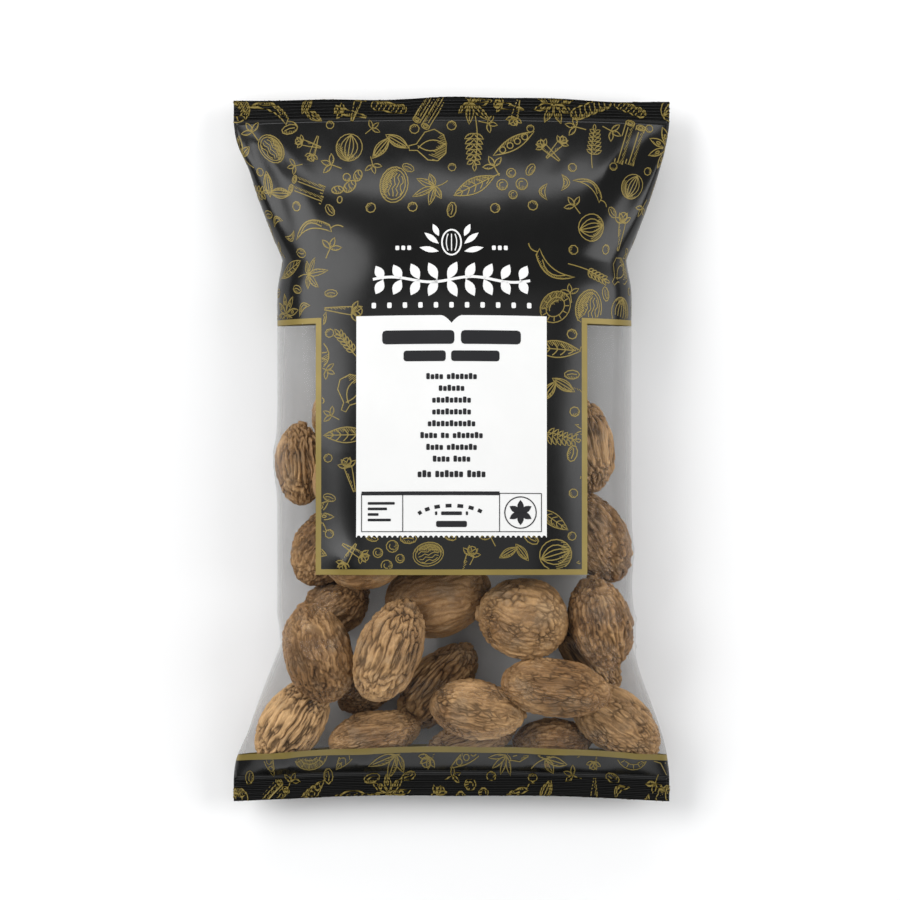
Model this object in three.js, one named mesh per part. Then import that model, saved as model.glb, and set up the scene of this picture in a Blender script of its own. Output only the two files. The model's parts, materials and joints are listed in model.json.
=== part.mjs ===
// A sealed pillow bag of whole nutmegs, lying on its back with the shown side up.
// The film is one tube, pressed flat and crimped at both ends, so it narrows where it swells.
// Millimetres. X runs across the bag, Y along it towards the top seal, Z up from the table.
import * as THREE from 'three';

// Film tube and its plan
const BAG_LENGTH = 186;
const FLAT_WIDTH = 115;
const BELLY_WIDTH = 94.6;
const WAIST_WIDTH = 92;
const WAIST_BLEND = 9;
const LOWER_WAIST = 42;
const UPPER_WAIST = 144;
const FLARE_POWER = 1.4;

// Thickness of the filled bag, and how high its ends are held
const BELLY_RISE = 19.6;
const BELLY_DROP = 18.6;
const BELLY_MIDDLE = 17;
const TOP_END_SLACK = 0.22;
const SLACK_FROM = 0.5;
const SLACK_FULL = 0.85;
const BOTTOM_SWELL = { length: 36, power: 2.4 };
const TOP_SWELL = { length: 54, power: 2.3 };
const SEAL_HEIGHT = 9.5;
const SIDE_ROUNDNESS = 2.45;

// Crimped end seals
const BOTTOM_SEAL = 7;
const TOP_SEAL = 6.5;
const SEAL_HALF_THICKNESS = 0.45;
const CRIMPS = 7;
const CRIMP_HEIGHT = 0.35;
const BOTTOM_EDGE_BOW = 1.5;
const TOP_EDGE_BOW = 1.1;
const BOW_REACH = 30;

// Soft folds that run out of each seal, and the nuts that press on the film
const GATHERS = 5;
const GATHER_HEIGHT = 0.8;
const GATHER_REACH = 14;
const NUT_PITCH_X = 23;
const NUT_PITCH_Y = 19;
const NUT_BULGE = 1.3;
const NUTS_FROM = 16;
const NUTS_UP_TO = 112;

// Mesh fineness
const RING_POINTS = 48;
const ROWS_PER_CRIMP = 2;
const BODY_ROWS = 38;

const SEAL_FILM = { color: 0x1d1c1a, roughness: 0.28, metalness: 0 };

const smooth = THREE.MathUtils.smoothstep;
const lerp = THREE.MathUtils.lerp;

/** Distance from the nearer seal's inner edge, for a place d along the bag from its bottom edge. */
function pastSeal(d) {
  return Math.max(0, Math.min(d - BOTTOM_SEAL, BAG_LENGTH - TOP_SEAL - d));
}

/** Half the bag's width: full at the seals, flaring in to a waist, a little wider between them. */
function halfWidth(d) {
  const lower = (LOWER_WAIST - d) / (LOWER_WAIST - BOTTOM_SEAL);
  const upper = (d - UPPER_WAIST) / (BAG_LENGTH - TOP_SEAL - UPPER_WAIST);
  const outward = THREE.MathUtils.clamp(Math.max(lower, upper), 0, 1);
  const flare = 1 - (1 - outward) ** FLARE_POWER;
  const inBelly = Math.min(d - LOWER_WAIST, UPPER_WAIST - d);
  const belly = smooth(inBelly, 0, WAIST_BLEND) * (BELLY_WIDTH - WAIST_WIDTH);
  return (WAIST_WIDTH + belly + flare * (FLAT_WIDTH - WAIST_WIDTH)) / 2;
}

/** How far the film has swelled from flat, from 0 at a seal to 1 in the belly: soonest by the nuts. */
function swell(d) {
  const end = d < BAG_LENGTH / 2 ? BOTTOM_SWELL : TOP_SWELL;
  const t = Math.min(pastSeal(d) / end.length, 1);
  return 1 - (1 - t) ** end.power;
}

/** The half that holds only air, near the top seal, is slacker than the half that holds nuts. */
function tautness(d) {
  return 1 - TOP_END_SLACK * smooth(d / BAG_LENGTH, SLACK_FROM, SLACK_FULL);
}

/** Height of a seal's crimps, which move both faces of the film together. */
function crimp(d) {
  const fromEdge = Math.min(d, BAG_LENGTH - d);
  const seal = d < BAG_LENGTH / 2 ? BOTTOM_SEAL : TOP_SEAL;
  const inSeal = fromEdge < seal ? 1 : 0;
  return inSeal * CRIMP_HEIGHT * Math.cos((2 * Math.PI * CRIMPS * fromEdge) / seal);
}

/** Shallow folds fanning out of the seals. */
function gather(across, d) {
  const reach = pastSeal(d) / GATHER_REACH;
  const fade = reach * Math.exp(1 - reach);
  return GATHER_HEIGHT * fade * Math.cos(Math.PI * GATHERS * across);
}

/** Bulges over nuts, packed in staggered rows. */
function bulge(x, d) {
  const row = Math.round((d - NUTS_FROM) / NUT_PITCH_Y);
  const shift = (row % 2) * 0.5;
  const column = Math.round(x / NUT_PITCH_X - shift) + shift;
  const dx = (x - column * NUT_PITCH_X) / NUT_PITCH_X;
  const dy = (d - NUTS_FROM - row * NUT_PITCH_Y) / NUT_PITCH_Y;
  const dome = Math.cos(Math.PI * dx) * Math.cos(Math.PI * dy);
  const begun = smooth(d, BOTTOM_SEAL, NUTS_FROM * 2);
  const ended = smooth(d, NUTS_UP_TO - NUT_PITCH_Y, NUTS_UP_TO);
  return NUT_BULGE * begun * (1 - ended) * dome;
}

/** The seals' cut edges bow towards the top end at the middle of the bag. */
function bowed(across, d) {
  const arch = 1 - across * across;
  const atBottom = BOTTOM_EDGE_BOW * Math.max(0, 1 - d / BOW_REACH);
  const atTop = TOP_EDGE_BOW * Math.max(0, 1 - (BAG_LENGTH - d) / BOW_REACH);
  return d + atBottom * arch - atTop * (1 - arch);
}

/** One point of the film: step counts round the ring from the +X side, over the shown face first. */
function filmPoint(d, step) {
  const angle = (2 * Math.PI * step) / RING_POINTS;
  const round = (v) => Math.sign(v) * Math.abs(v) ** (2 / SIDE_ROUNDNESS);
  const across = round(Math.cos(angle));
  const lift = round(Math.sin(angle));
  const half = halfWidth(d);
  const x = half * across;
  const s = swell(d);
  const middle = lerp(SEAL_HEIGHT, BELLY_MIDDLE, s) + crimp(d);
  const reach = lift > 0 ? BELLY_RISE * tautness(d) : BELLY_DROP * tautness(d);
  const relief = lift > 0 ? (bulge(x, d) + gather(across, d)) * lift : 0;
  const z = middle + lift * (s * reach + SEAL_HALF_THICKNESS) + relief;
  return [x, bowed(across, d) - BAG_LENGTH / 2, Math.max(0, z)];
}

/** Places along the bag where a ring of points is laid, close together in the crimped seals. */
function ringPlaces() {
  const places = [];
  const sealRows = CRIMPS * ROWS_PER_CRIMP;
  for (let i = 0; i < sealRows; i += 1) {
    places.push((BOTTOM_SEAL * i) / sealRows);
  }
  const body = BAG_LENGTH - BOTTOM_SEAL - TOP_SEAL;
  for (let i = 0; i <= BODY_ROWS; i += 1) {
    const even = i / BODY_ROWS;
    const crowded = even - Math.sin(2 * Math.PI * even) / (4 * Math.PI);
    places.push(BOTTOM_SEAL + body * crowded);
  }
  for (let i = 1; i <= sealRows; i += 1) {
    places.push(BAG_LENGTH - TOP_SEAL + (TOP_SEAL * i) / sealRows);
  }
  return places;
}

/** Flat strip of triangles that shuts the ring at one end of the bag. */
function endCap(firstPoint, facesTop) {
  const triangles = [];
  for (let i = 0; i < RING_POINTS / 2; i += 1) {
    const a = firstPoint + i;
    const b = firstPoint + i + 1;
    const c = firstPoint + ((RING_POINTS - i - 1) % RING_POINTS);
    const d = firstPoint + ((RING_POINTS - i) % RING_POINTS);
    const quad = [];
    if (b !== c) {
      quad.push(a, b, c);
    }
    if (a !== d) {
      quad.push(a, c, d);
    }
    triangles.push(...(facesTop ? quad.reverse() : quad));
  }
  return triangles;
}

/** The whole bag as one closed surface. */
function bagGeometry() {
  const places = ringPlaces();
  const points = [];
  for (const d of places) {
    for (let step = 0; step < RING_POINTS; step += 1) {
      points.push(...filmPoint(d, step));
    }
  }
  const triangles = [];
  for (let row = 0; row + 1 < places.length; row += 1) {
    for (let step = 0; step < RING_POINTS; step += 1) {
      const next = (step + 1) % RING_POINTS;
      const a = row * RING_POINTS + step;
      const b = row * RING_POINTS + next;
      const c = (row + 1) * RING_POINTS + next;
      const d = (row + 1) * RING_POINTS + step;
      triangles.push(a, c, b, a, d, c);
    }
  }
  const lastRing = (places.length - 1) * RING_POINTS;
  triangles.push(...endCap(0, false), ...endCap(lastRing, true));
  const geometry = new THREE.BufferGeometry();
  geometry.setAttribute('position', new THREE.Float32BufferAttribute(points, 3));
  geometry.setIndex(triangles);
  geometry.computeVertexNormals();
  return geometry;
}

const bag = new THREE.Mesh(bagGeometry(), new THREE.MeshStandardMaterial(SEAL_FILM));
bag.name = 'nutmeg_bag';

const part = new THREE.Group();
part.add(bag);

export default part;
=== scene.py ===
"""A sealed pillow bag of whole nutmegs, lying on its back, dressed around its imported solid.

The film is one printed tube with clear windows. It is laid out from the same driving sizes as the
solid, then pushed out wherever a nut presses on it. The nuts are grown by Geometry Nodes and
settled against each other inside the bag. Everything printed is drawn flat and laid on the film by
its unrolled map. Lengths are metres in the part's frame: X across, Y towards the top seal, Z up.
"""

import json
import logging
import math
from dataclasses import dataclass, field
from enum import Enum
from typing import Any

import bmesh
import bpy
import numpy as np
from mathutils import Matrix, Vector
from mathutils.bvhtree import BVHTree

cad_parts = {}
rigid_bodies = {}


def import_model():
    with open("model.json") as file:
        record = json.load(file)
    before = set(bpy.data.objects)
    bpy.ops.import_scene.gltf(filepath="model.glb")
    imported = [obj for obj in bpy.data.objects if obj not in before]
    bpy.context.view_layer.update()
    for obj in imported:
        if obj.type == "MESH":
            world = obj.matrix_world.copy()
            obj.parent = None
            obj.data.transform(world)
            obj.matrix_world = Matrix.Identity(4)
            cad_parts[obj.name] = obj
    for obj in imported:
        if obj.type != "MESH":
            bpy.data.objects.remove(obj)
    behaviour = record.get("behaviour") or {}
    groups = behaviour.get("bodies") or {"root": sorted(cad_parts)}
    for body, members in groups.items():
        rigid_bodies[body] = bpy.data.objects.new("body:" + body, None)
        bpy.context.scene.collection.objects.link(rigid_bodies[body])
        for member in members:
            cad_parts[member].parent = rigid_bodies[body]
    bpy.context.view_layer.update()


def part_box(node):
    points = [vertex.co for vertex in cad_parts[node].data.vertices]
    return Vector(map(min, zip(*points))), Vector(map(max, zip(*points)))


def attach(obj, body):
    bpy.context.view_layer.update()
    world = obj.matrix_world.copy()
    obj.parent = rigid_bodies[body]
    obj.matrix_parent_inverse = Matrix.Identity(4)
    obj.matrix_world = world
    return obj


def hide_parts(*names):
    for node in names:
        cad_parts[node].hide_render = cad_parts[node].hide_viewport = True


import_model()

LOG = logging.getLogger("nutmeg_bag")
NODE = "nutmeg_bag"
BODY = "root"
MM = 0.001
UNROLLED = "unrolled"
TINY = 1e-9
Array = np.ndarray
Colour = tuple[float, float, float]
Stroke = tuple[Array, bool]
Socket = bpy.types.NodeSocket
Node = bpy.types.Node
Mesh = bpy.types.Mesh
Object = bpy.types.Object
Material = bpy.types.Material


class Slot(Enum):
    """The record's material slots, by name."""

    PRINTED_FILM = "printed_film"
    CLEAR_FILM = "clear_film"
    BACKING_FILM = "backing_film"
    GOLD_PRINT = "gold_print"
    LABEL_PRINT = "label_print"
    LABEL_INK = "label_ink"
    NUTMEG = "nutmeg"


class Zone(Enum):
    """What a face of the film tube carries."""

    DARK = "dark"
    GOLD = "gold"
    WINDOW = "window"


class Stretch(Enum):
    """A stretch of the film's length, as its zones inside, on and outside the panel's border."""

    BAND = (Zone.DARK, Zone.DARK, Zone.DARK)
    LINE = (Zone.GOLD, Zone.GOLD, Zone.GOLD)
    OPEN = (Zone.WINDOW, Zone.WINDOW, Zone.WINDOW)
    FOOT = (Zone.GOLD, Zone.GOLD, Zone.WINDOW)
    PANEL = (Zone.DARK, Zone.GOLD, Zone.WINDOW)
    HEAD = (Zone.DARK, Zone.GOLD, Zone.GOLD)


# ---------------------------------------- Node graphs --------------------------------------------


class Graph:
    """Adds nodes to a shader or geometry tree and links them as it goes."""

    def __init__(self, tree: bpy.types.NodeTree) -> None:
        """Starts on a node tree."""
        self.tree = tree

    def feed(self, socket: Socket, value: Any) -> None:
        """Links a socket, or sets its own value.

        Args:
            socket: The input to feed.
            value: An output socket, or a plain value.
        """
        if isinstance(value, Socket):
            self.tree.links.new(value, socket)
        else:
            socket.default_value = value

    def add(self, kind: str, inputs: dict[Any, Any] | None = None, **settings: Any) -> Node:
        """Adds one node.

        Args:
            kind: The node's type name.
            inputs: Values or output sockets, by the input's identifier, name or index.
            **settings: The node's own properties.

        Returns:
            The node.
        """
        node = self.tree.nodes.new(kind)
        for name, value in settings.items():
            setattr(node, name, value)
        known = {socket.identifier: socket for socket in node.inputs}
        for key, value in (inputs or {}).items():
            self.feed(known[key] if key in known else node.inputs[key], value)
        return node

    def math(self, operation: str, *values: Any, clamp: bool = False) -> Socket:
        """Adds a Math node.

        Args:
            operation: The Math node's operation.
            *values: Its inputs, in order.
            clamp: Whether the result is held between 0 and 1.

        Returns:
            The result's socket.
        """
        inputs = dict(enumerate(values))
        return self.add("ShaderNodeMath", inputs, operation=operation, use_clamp=clamp).outputs[0]

    def times(self, a: Any, b: Any) -> Socket:
        """The product of two numbers."""
        return self.math("MULTIPLY", a, b)

    def times_add(self, a: Any, b: Any, c: Any) -> Socket:
        """The product of two numbers, plus a third."""
        return self.math("MULTIPLY_ADD", a, b, c)

    def vector(self, operation: str, *values: Any, output: str = "Vector") -> Socket:
        """Adds a Vector Math node.

        Args:
            operation: The Vector Math node's operation.
            *values: Its inputs, in order.
            output: The name of the result.

        Returns:
            The result's socket.
        """
        inputs = dict(enumerate(values))
        return self.add("ShaderNodeVectorMath", inputs, operation=operation).outputs[output]

    def scaled(self, vector: Any, factor: Any) -> Socket:
        """A vector times a number."""
        inputs = {0: vector, "Scale": factor}
        return self.add("ShaderNodeVectorMath", inputs, operation="SCALE").outputs[0]

    def joined(self, x: Any = 0.0, y: Any = 0.0, z: Any = 0.0) -> Socket:
        """The vector of three numbers."""
        return self.add("ShaderNodeCombineXYZ", {0: x, 1: y, 2: z}).outputs[0]

    def split(self, vector: Any) -> Any:
        """The sockets of a vector's three numbers."""
        return self.add("ShaderNodeSeparateXYZ", {0: vector}).outputs

    def ramp(self, value: Any, low: float, high: float, start: float = 0.0, end: float = 1.0,
             smooth: bool = True) -> Socket:
        """Maps a value from one range to another.

        Args:
            value: The value or its socket.
            low: The value that maps to start.
            high: The value that maps to end.
            start: The result at low.
            end: The result at high.
            smooth: Whether the change eases in and out.

        Returns:
            The result's socket.
        """
        inputs = {0: value, 1: low, 2: high, 3: start, 4: end}
        kind = "SMOOTHSTEP" if smooth else "LINEAR"
        return self.add("ShaderNodeMapRange", inputs, interpolation_type=kind).outputs[0]

    def mix(self, factor: Any, a: Any, b: Any) -> Socket:
        """Mixes two colours.

        Args:
            factor: How much of b, from 0 to 1.
            a: The first colour or its socket.
            b: The second colour or its socket.

        Returns:
            The mixed colour's socket.
        """
        a, b = ((*c, 1.0) if isinstance(c, tuple) else c for c in (a, b))
        inputs = {"Factor_Float": factor, "A_Color": a, "B_Color": b}
        return self.add("ShaderNodeMix", inputs, data_type="RGBA").outputs[2]

    def noise(self, place: Any, scale: float, detail: float = 2.0, roughness: float = 0.5,
              distortion: float = 0.0, output: str = "Fac") -> Socket:
        """Adds a Noise Texture node.

        Args:
            place: The coordinates' socket.
            scale: Features per metre, or per unit of the coordinates.
            detail: How many octaves are added.
            roughness: How strong each finer octave is.
            distortion: How far the pattern is dragged about.
            output: The name of the result.

        Returns:
            The result's socket.
        """
        inputs = {"Vector": place, "Scale": scale, "Detail": detail, "Roughness": roughness,
                  "Distortion": distortion}
        return self.add("ShaderNodeTexNoise", inputs).outputs[output]


class Shader(Graph):
    """A new material's tree, with a Principled node to dress."""

    def __init__(self, name: str) -> None:
        """Makes the material.

        Args:
            name: The material's name.
        """
        self.material = bpy.data.materials.new(name)
        self.material.use_nodes = True
        super().__init__(self.material.node_tree)
        self.tree.nodes.clear()
        self.skin = self.add("ShaderNodeBsdfPrincipled")

    def place(self) -> Socket:
        """The Object coordinates."""
        return self.add("ShaderNodeTexCoord").outputs["Object"]

    def named(self, name: str, output: str = "Fac") -> Socket:
        """The mesh attribute of that name."""
        return self.add("ShaderNodeAttribute", attribute_name=name).outputs[output]

    def bump(self, strength: float, distance: float, height: Socket) -> Socket:
        """The normal of a surface with that relief."""
        inputs = {"Strength": strength, "Distance": distance, "Height": height}
        return self.add("ShaderNodeBump", inputs).outputs[0]


class Growth(Graph):
    """A Geometry Nodes tree with named inputs, run once on a mesh to give a plain mesh."""

    SOCKETS = {
        float: "NodeSocketFloat", int: "NodeSocketInt", Object: "NodeSocketObject",
        bpy.types.Collection: "NodeSocketCollection", Material: "NodeSocketMaterial",
    }

    def __init__(self, name: str, inputs: dict[str, type]) -> None:
        """Makes the tree with its named inputs.

        Args:
            name: The tree's name.
            inputs: Each input's Python type, by its name, in order.
        """
        super().__init__(bpy.data.node_groups.new(name, "GeometryNodeTree"))
        face = self.tree.interface
        face.new_socket("Geometry", in_out="INPUT", socket_type="NodeSocketGeometry")
        face.new_socket("Geometry", in_out="OUTPUT", socket_type="NodeSocketGeometry")
        for label, kind in inputs.items():
            face.new_socket(label, in_out="INPUT", socket_type=self.SOCKETS[kind])
        self.given = self.add("NodeGroupInput").outputs
        self.spot = self.add("GeometryNodeInputPosition").outputs[0]

    def attribute(self, name: str, kind: str) -> Socket:
        """The mesh attribute of that name and kind."""
        inputs = {"Name": name}
        return self.add("GeometryNodeInputNamedAttribute", inputs, data_type=kind).outputs[0]

    def store(self, geometry: Socket, name: str, value: Any, kind: str = "FLOAT") -> Socket:
        """Stores a value on the points.

        Args:
            geometry: The geometry.
            name: The attribute's name.
            value: Its value.
            kind: Its data type.

        Returns:
            The geometry with it.
        """
        inputs = {"Geometry": geometry, "Name": name, "Value": value}
        return self.add("GeometryNodeStoreNamedAttribute", inputs, domain="POINT",
                        data_type=kind).outputs[0]

    def random(self, low: Any, high: Any, seed: Any, kind: str = "FLOAT") -> Socket:
        """A random value for each point.

        Args:
            low: The least that it may be.
            high: The most that it may be.
            seed: What the draws follow from.
            kind: Its data type: FLOAT_VECTOR, FLOAT or INT.

        Returns:
            The value's socket.
        """
        number = ("FLOAT_VECTOR", "FLOAT", "INT").index(kind)
        tail = ("", "_001", "_002")[number]
        inputs = {"Min" + tail: low, "Max" + tail: high, "Seed": seed}
        return self.add("FunctionNodeRandomValue", inputs, data_type=kind).outputs[number]

    def compare(self, value: Any, operation: str = "GREATER_THAN") -> Socket:
        """Whether a value of 0 or 1 is over, or under, a half."""
        return self.add("FunctionNodeCompare", {0: value, 1: 0.5}, data_type="FLOAT",
                        operation=operation).outputs[0]

    def moved(self, geometry: Socket, **inputs: Socket) -> Socket:
        """The geometry with its points at a Position, or shifted by an Offset."""
        inputs = {"Geometry": geometry, **inputs}
        return self.add("GeometryNodeSetPosition", inputs).outputs[0]

    def finish(self, geometry: Socket) -> None:
        """Ends the tree: instances made real, shaded smooth, given the input named Finish.

        Args:
            geometry: What the tree made.
        """
        real = self.add("GeometryNodeRealizeInstances", {"Geometry": geometry})
        soft = self.add("GeometryNodeSetShadeSmooth", {"Geometry": real.outputs[0]})
        dressed = self.add("GeometryNodeSetMaterial", {
            "Geometry": soft.outputs[0], "Material": self.given["Finish"]})
        self.add("NodeGroupOutput", {0: dressed.outputs[0]})

    def grow(self, name: str, values: dict[str, Any], seed_mesh: Mesh | None = None) -> Mesh:
        """Runs the tree and returns its result as a plain mesh.

        Args:
            name: The new mesh's name.
            values: The named inputs' values.
            seed_mesh: The mesh that the tree starts from, or None for an empty one.

        Returns:
            The mesh, with no modifier behind it.
        """
        mesh = seed_mesh or bpy.data.meshes.new(name + "_seed")
        host = bpy.data.objects.new(name + "_host", mesh)
        bpy.context.scene.collection.objects.link(host)
        modifier = host.modifiers.new(name, "NODES")
        modifier.node_group = self.tree
        for item in self.tree.interface.items_tree:
            if item.in_out == "INPUT" and item.name in values:
                modifier[item.identifier] = values[item.name]
        bpy.context.view_layer.update()
        graph = bpy.context.evaluated_depsgraph_get()
        result = bpy.data.meshes.new_from_object(host.evaluated_get(graph))
        result.name = name
        bpy.data.objects.remove(host)
        bpy.data.meshes.remove(mesh)
        return result


def mesh_of(name: str, points: Array, faces: list[list[int]]) -> Mesh:
    """Makes a smooth mesh of the points that some faces use.

    Args:
        name: The mesh's name.
        points: Candidate points.
        faces: Each face's points, by number.

    Returns:
        The mesh.
    """
    used = sorted({number for face in faces for number in face})
    place = {number: k for k, number in enumerate(used)}
    mesh = bpy.data.meshes.new(name)
    mesh.from_pydata([tuple(points[k]) for k in used], [], [[place[k] for k in f] for f in faces])
    mesh.shade_smooth()
    return mesh


def show(name: str, mesh: Mesh, slot: Slot, material: Material | None = None) -> Object:
    """Makes a finished piece of a mesh and ties it to the frame.

    Args:
        name: The piece's name.
        mesh: Its mesh, in the part's frame.
        slot: The record's slot for its finish; not used.
        material: Its material, where the mesh has none yet.

    Returns:
        The piece.
    """
    mesh.name = name
    if material is not None:
        mesh.materials.append(material)
    piece = bpy.data.objects.new(name, mesh)
    bpy.context.scene.collection.objects.link(piece)
    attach(piece, BODY)
    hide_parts(NODE)
    LOG.info("%-18s %7d faces", name, len(mesh.polygons))
    return piece


# ---------------------------------------- Finishes -----------------------------------------------


@dataclass(frozen=True)
class Finish:
    """A surface's look."""

    name: str

    def paint(self, shader: Shader) -> dict[str, Any]:
        """The Principled node's inputs by name: none but the defaults here."""
        return {}

    def cover(self, shader: Shader) -> Socket:
        """What is seen: the bare Principled node here."""
        return shader.skin.outputs[0]

    def material(self) -> Material:
        """Builds the material.

        Returns:
            The finished material.
        """
        shader = Shader(self.name)
        for name, value in self.paint(shader).items():
            shader.feed(shader.skin.inputs[name], value)
        shader.add("ShaderNodeOutputMaterial", {"Surface": self.cover(shader)})
        return shader.material


@dataclass(frozen=True)
class FilmFinish(Finish):
    """Glossy printed film: an even ink under a surface with faint handling creases."""

    name: str = "printed_film"
    ink: Colour = (0.0055, 0.0055, 0.0052)
    roughness: float = 0.2
    specular: float = 0.3
    metallic: float = 0.0
    fleck: float = 0.2
    fleck_scale: float = 90.0
    fleck_range: tuple[float, float] = (0.35, 0.7)
    wear_scale: float = 320.0
    wear_range: tuple[float, float] = (0.3, 0.7)
    wear: tuple[float, float] = (0.97, 1.04)
    crease_scale: float = 110.0
    crease_height: float = 0.12 * MM
    crease_strength: float = 0.14

    def paint(self, shader: Shader) -> dict[str, Any]:
        """Ink that varies a little, and creases.

        Args:
            shader: The material's tree.

        Returns:
            The Principled node's inputs by name.
        """
        place = shader.place()
        blotch = shader.ramp(shader.noise(place, self.fleck_scale, 3.0), *self.fleck_range)
        lighter = tuple(min(1.0, c * (1 + self.fleck)) for c in self.ink)
        worn = shader.noise(place, self.wear_scale)
        low, high = (self.roughness * share for share in self.wear)
        crease = shader.noise(place, self.crease_scale, 3.0, 0.55, 0.6)
        return {
            "Base Color": shader.mix(blotch, self.ink, lighter),
            "Metallic": self.metallic, "Specular IOR Level": self.specular,
            "Roughness": shader.ramp(worn, *self.wear_range, low, high),
            "Normal": shader.bump(self.crease_strength, self.crease_height, crease),
        }


@dataclass(frozen=True)
class WindowFinish(Finish):
    """Clear film: what is behind shows through, with a faint haze and the film's own shine."""

    name: str = "clear_film"
    tint: Colour = (0.97, 0.97, 0.968)
    haze_colour: Colour = (0.80, 0.80, 0.80)
    haze: float = 0.006
    edge: float = 0.34
    edge_blend: float = 0.35
    edge_power: float = 2.2
    roughness: float = 0.12
    metallic: float = 0.75
    crease_scale: float = 120.0
    crease_height: float = 0.12 * MM
    crease_strength: float = 0.3

    def paint(self, shader: Shader) -> dict[str, Any]:
        """The haze's own colour and the shine.

        Args:
            shader: The material's tree.

        Returns:
            The Principled node's inputs by name.
        """
        crease = shader.noise(shader.place(), self.crease_scale, 2.0, 0.5, 0.5)
        return {
            "Base Color": (*self.haze_colour, 1), "Roughness": self.roughness,
            "Metallic": self.metallic,
            "Normal": shader.bump(self.crease_strength, self.crease_height, crease),
        }

    def veil(self, shader: Shader) -> Socket:
        """How much of the skin is seen over the clear shader: more where the film is edge on.

        Args:
            shader: The material's tree.

        Returns:
            The share's socket.
        """
        weight = shader.add("ShaderNodeLayerWeight", {"Blend": self.edge_blend})
        steep = shader.math("POWER", weight.outputs["Facing"], self.edge_power)
        return shader.ramp(steep, 0.0, 1.0, self.haze, self.edge, smooth=False)

    def cover(self, shader: Shader) -> Socket:
        """Mixes the skin over a clear shader.

        Args:
            shader: The material's tree.

        Returns:
            The mixed shader's socket.
        """
        clear = shader.add("ShaderNodeBsdfTransparent", {"Color": (*self.tint, 1)}).outputs[0]
        inputs = {0: self.veil(shader), 1: clear, 2: shader.skin.outputs[0]}
        return shader.add("ShaderNodeMixShader", inputs).outputs[0]


@dataclass(frozen=True)
class BackingFinish(WindowFinish):
    """The milky film behind the nuts, which hides most of what is under the bag."""

    name: str = "backing_film"
    tint: Colour = (0.8, 0.8, 0.8)
    haze_colour: Colour = (0.68, 0.68, 0.68)
    haze: float = 0.36
    edge: float = 0.9
    metallic: float = 0.0
    roughness: float = 0.3
    milky_below: float = 6.5 * MM
    clear_above: float = 16 * MM
    side_veil: float = 0.12

    def veil(self, shader: Shader) -> Socket:
        """Thins the milkiness up the bag's sides, to join the clear film there.

        Args:
            shader: The material's tree.

        Returns:
            The share's socket.
        """
        height = shader.split(shader.place())[2]
        thin = shader.ramp(height, self.milky_below, self.clear_above, 1.0, self.side_veil)
        return shader.times(super().veil(shader), thin)


@dataclass(frozen=True)
class Wrinkles:
    """The pattern on a dried nutmeg's shell, the same for its form and for its colour.

    It is worked out on a ball of radius 1 whose poles are the nut's ends, shifted for each nut.
    """

    drift_scale: float = 1.6
    drift: float = 0.36
    furrow_scale: float = 5.2
    stretch: float = 0.105
    furrow_width: float = 0.19
    hair_scale: float = 12.48
    hair_width: float = 0.22
    net_scale: float = 7.0
    net_stretch: float = 0.6
    net_width: float = 0.24
    patch_scale: float = 1.9
    patch_range: tuple[float, float] = (0.36, 0.6)
    lump_scale: float = 7.0

    def pattern(self, graph: Graph, place: Socket) -> dict[str, Socket]:
        """Adds the pattern's nodes to a shader or geometry tree.

        Args:
            graph: The tree's graph.
            place: The shifted place on the ball.

        Returns:
            Sockets: rise between furrows, furrow, hair and net lines, and knots about 0.
        """
        drift = graph.noise(place, self.drift_scale, output="Color")
        drift = graph.vector("SUBTRACT", drift, (0.5, 0.5, 0.5))
        warped = graph.vector("ADD", place, graph.scaled(drift, self.drift))
        long = graph.vector("MULTIPLY", warped, (1.0, 1.0, self.stretch))
        rise = self.off_middle(graph, graph.noise(long, self.furrow_scale, 1.5))
        hair = self.off_middle(graph, graph.noise(long, self.hair_scale, 1.5))
        squat = graph.vector("MULTIPLY", warped, (1.0, 1.0, self.net_stretch))
        cells = graph.add("ShaderNodeTexVoronoi", {"Vector": squat, "Scale": self.net_scale},
                          feature="DISTANCE_TO_EDGE").outputs["Distance"]
        patchy = graph.ramp(graph.noise(place, self.patch_scale, 1.0), *self.patch_range)
        return {
            "rise": rise,
            "furrow": graph.ramp(rise, 0.0, self.furrow_width, 1.0, 0.0),
            "hair": graph.ramp(hair, 0.0, self.hair_width, 1.0, 0.0),
            "net": graph.times(graph.ramp(cells, 0.0, self.net_width, 1.0, 0.0), patchy),
            "knot": graph.math("SUBTRACT", graph.noise(warped, self.lump_scale, 3.0, 0.6), 0.5),
        }

    @staticmethod
    def off_middle(graph: Graph, noise: Socket) -> Socket:
        """How far a noise is from its middle value: 0 along thin winding lines."""
        return graph.math("ABSOLUTE", graph.times_add(noise, 2.0, -1.0))


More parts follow.
